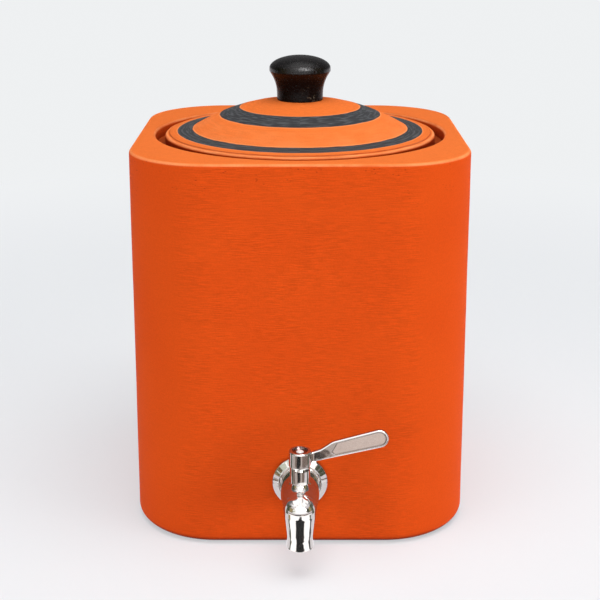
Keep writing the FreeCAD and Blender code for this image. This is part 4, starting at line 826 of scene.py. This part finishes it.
def lever_form(points):
    """Distance to the lever's outside; origin on the stem's axis at the hub's bottom."""
    x, y, z = points.T
    hub = smooth_max(np.hypot(x, y) - HUB_RADIUS, z - HUB_HEIGHT, 1.2)
    blade = smooth_max(flat_distance(x, z, blade_outline), np.abs(y) - BLADE_SIDE, 0.9)
    form = smooth_min(hub, blade, 2.2 * eased(HUB_HEIGHT - 0.5 - z, 0, 1.5) + 0.01)
    recess = np.maximum(flat_distance(x, z, panel_outline), y + BLADE_SIDE - PANEL_DEPTH)
    form = smooth_max(form, -recess, 0.3)
    dish = np.maximum(np.hypot(x, y) - DISH_RADIUS, DISH_FLOOR - z)
    form = np.maximum(form, -dish)
    button_hole = np.maximum(np.hypot(x, y) - BUTTON_HOLE[0], BUTTON_HOLE[1] - z)
    form = np.maximum(form, -button_hole)
    return np.where(z < 0.5, FAR, form)


hub_origin = (TAP_AXIS[0], TAP_AXIS[1], HUB_BOTTOM * MM)
lever = cast_skin("lever_casting", "lever_handle", hub_origin, lever_form, 0.3, lambda points: 0.9)
x, y, z = points_from(lever.data, hub_origin).T
from_panel = flat_distance(x, z, panel_outline)
sunken = (from_panel < 0.1) & (y < 0)
# Where shade is painted: along the panel's sunken edge, and in the dish.
corner_shaded = (np.abs(from_panel + 0.1) < 0.35) & (y < 0)
dished = (np.hypot(x, y) < DISH_RADIUS + 0.1) & (z > DISH_FLOOR - 0.4)
for name, share in (("panel", sunken), ("corner", corner_shaded), ("dish", dished)):
    lever.data.attributes.new(name, "FLOAT", "POINT").data.foreach_set("value", share.astype(float))
lever_plate, tree, shader, place, colour, rough = chrome("lever_plate")
panel = node(tree, "Attribute", attribute_name="panel").outputs["Fac"]
dish = node(tree, "Attribute", attribute_name="dish").outputs["Fac"]
brushed = node(tree, "Mapping", {"Vector": place, "Scale": (900, 900, 4000)}).outputs[0]
brushed = ramp(tree, noise_at(tree, brushed, 1.0), 0.3, 0.7, 0.9, 1.1)
satin = blend(tree, 1.0, SATIN, brushed, "MULTIPLY")
colour = blend(tree, panel, colour, satin)
# Painted shade: a dark line round the edge of the sunken panel.
corner = node(tree, "Attribute", attribute_name="corner").outputs["Fac"]
colour = blend(tree, maths(tree, "MULTIPLY", corner, 0.75), colour, PANEL_CORNER_SHADE)
tree.links.new(blend(tree, dish, colour, DISH_SHADE), shader.inputs["Base Color"])
rough = maths(tree, "ADD", rough, maths(tree, "MULTIPLY", panel, 0.3))
tree.links.new(rough, shader.inputs["Roughness"])
lever.data.materials.append(lever_plate)
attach(lever, "tap_handle")
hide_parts("lever_handle")


# --- Bonnet, shank and index button ----------------------------------------------------------
# Turned and chromed: the gland nut on the tap's neck, the shank's collar against the flange,
# and the button that closes the hub. A round white dot in the button's middle is a painted highlight.
DOT_RADIUS = 2.7
BUTTON_SHADE = (0.20, 0.15, 0.14, 1)
DOT_HIGHLIGHT = (0.80, 0.79, 0.77, 1)
for name in ("bonnet", "tap_shank"):
    frame["nodes"][name].material_slots[0].material = bright_plate
button_plate, tree, shader, place, colour, rough = chrome("button_plate")
x, y, _ = split(tree, place)
aside = maths(tree, "SUBTRACT", x, TAP_AXIS[0])
from_stem = length(tree, aside, maths(tree, "SUBTRACT", y, TAP_AXIS[1]))
# Painted highlight: a round white dot, not metal, in the button's middle; the rest is darkened.
dot = ramp(tree, from_stem, (DOT_RADIUS + 0.2) * MM, (DOT_RADIUS - 0.2) * MM)
tree.links.new(blend(tree, dot, BUTTON_SHADE, DOT_HIGHLIGHT), shader.inputs["Base Color"])
tree.links.new(ramp(tree, dot, 0.0, 1.0, 0.95, 0.0), shader.inputs["Metallic"])
tree.links.new(ramp(tree, dot, 0.0, 1.0, 0.05, 0.35), shader.inputs["Roughness"])
frame["nodes"]["index_button"].material_slots[0].material = button_plate


# --- Hidden steel, rubber and seats ----------------------------------------------------------
# What holds the knob, clamps the tap to the wall and seals the valve inside the casting: turned
# steel screws, washers, nut, stem and ball, moulded rubber rings, and seats cut from PTFE.
STEEL = ((0.50, 0.49, 0.47, 1), (0.62, 0.61, 0.59, 1))
RUBBER = ((0.012, 0.012, 0.012, 1), (0.035, 0.034, 0.033, 1))
PTFE = ((0.72, 0.71, 0.68, 1), (0.82, 0.81, 0.79, 1))


def cloudy_finish(name, colours, scale, detail, gloss, **sockets):
    """Finish that varies a little from place to place, between two colours and in its gloss."""
    material, tree, shader = new_material(name, **sockets)
    cloud = noise_at(tree, node(tree, "TexCoord").outputs["Object"], scale, detail)
    tree.links.new(blend(tree, cloud, *colours), shader.inputs["Base Color"])
    tree.links.new(ramp(tree, cloud, *gloss), shader.inputs["Roughness"])
    return material


turned_steel = cloudy_finish("turned_steel", STEEL, 900.0, 3.0, (0.3, 0.7, 0.25, 0.45), Metallic=1.0)
rubber = cloudy_finish("black_rubber", RUBBER, 500.0, 4.0, (0.2, 0.8, 0.6, 0.8), Specular_IOR_Level=0.35)
ptfe = cloudy_finish("white_ptfe", PTFE, 300.0, 2.0, (0.2, 0.8, 0.4, 0.55), Specular_IOR_Level=0.3)
FINISHES = {
    turned_steel: ("knob_screw", "knob_washer", "inner_washer", "lock_nut", "valve_stem",
                   "valve_ball", "handle_screw"),
    rubber: ("knob_cushion", "outer_gasket", "inner_gasket", "body_o_ring", "stem_o_rings"),
    ptfe: ("seat_front", "seat_rear", "stem_thrust_washer"),
}
for material, names in FINISHES.items():
    for name in names:
        frame["nodes"][name].material_slots[0].material = material
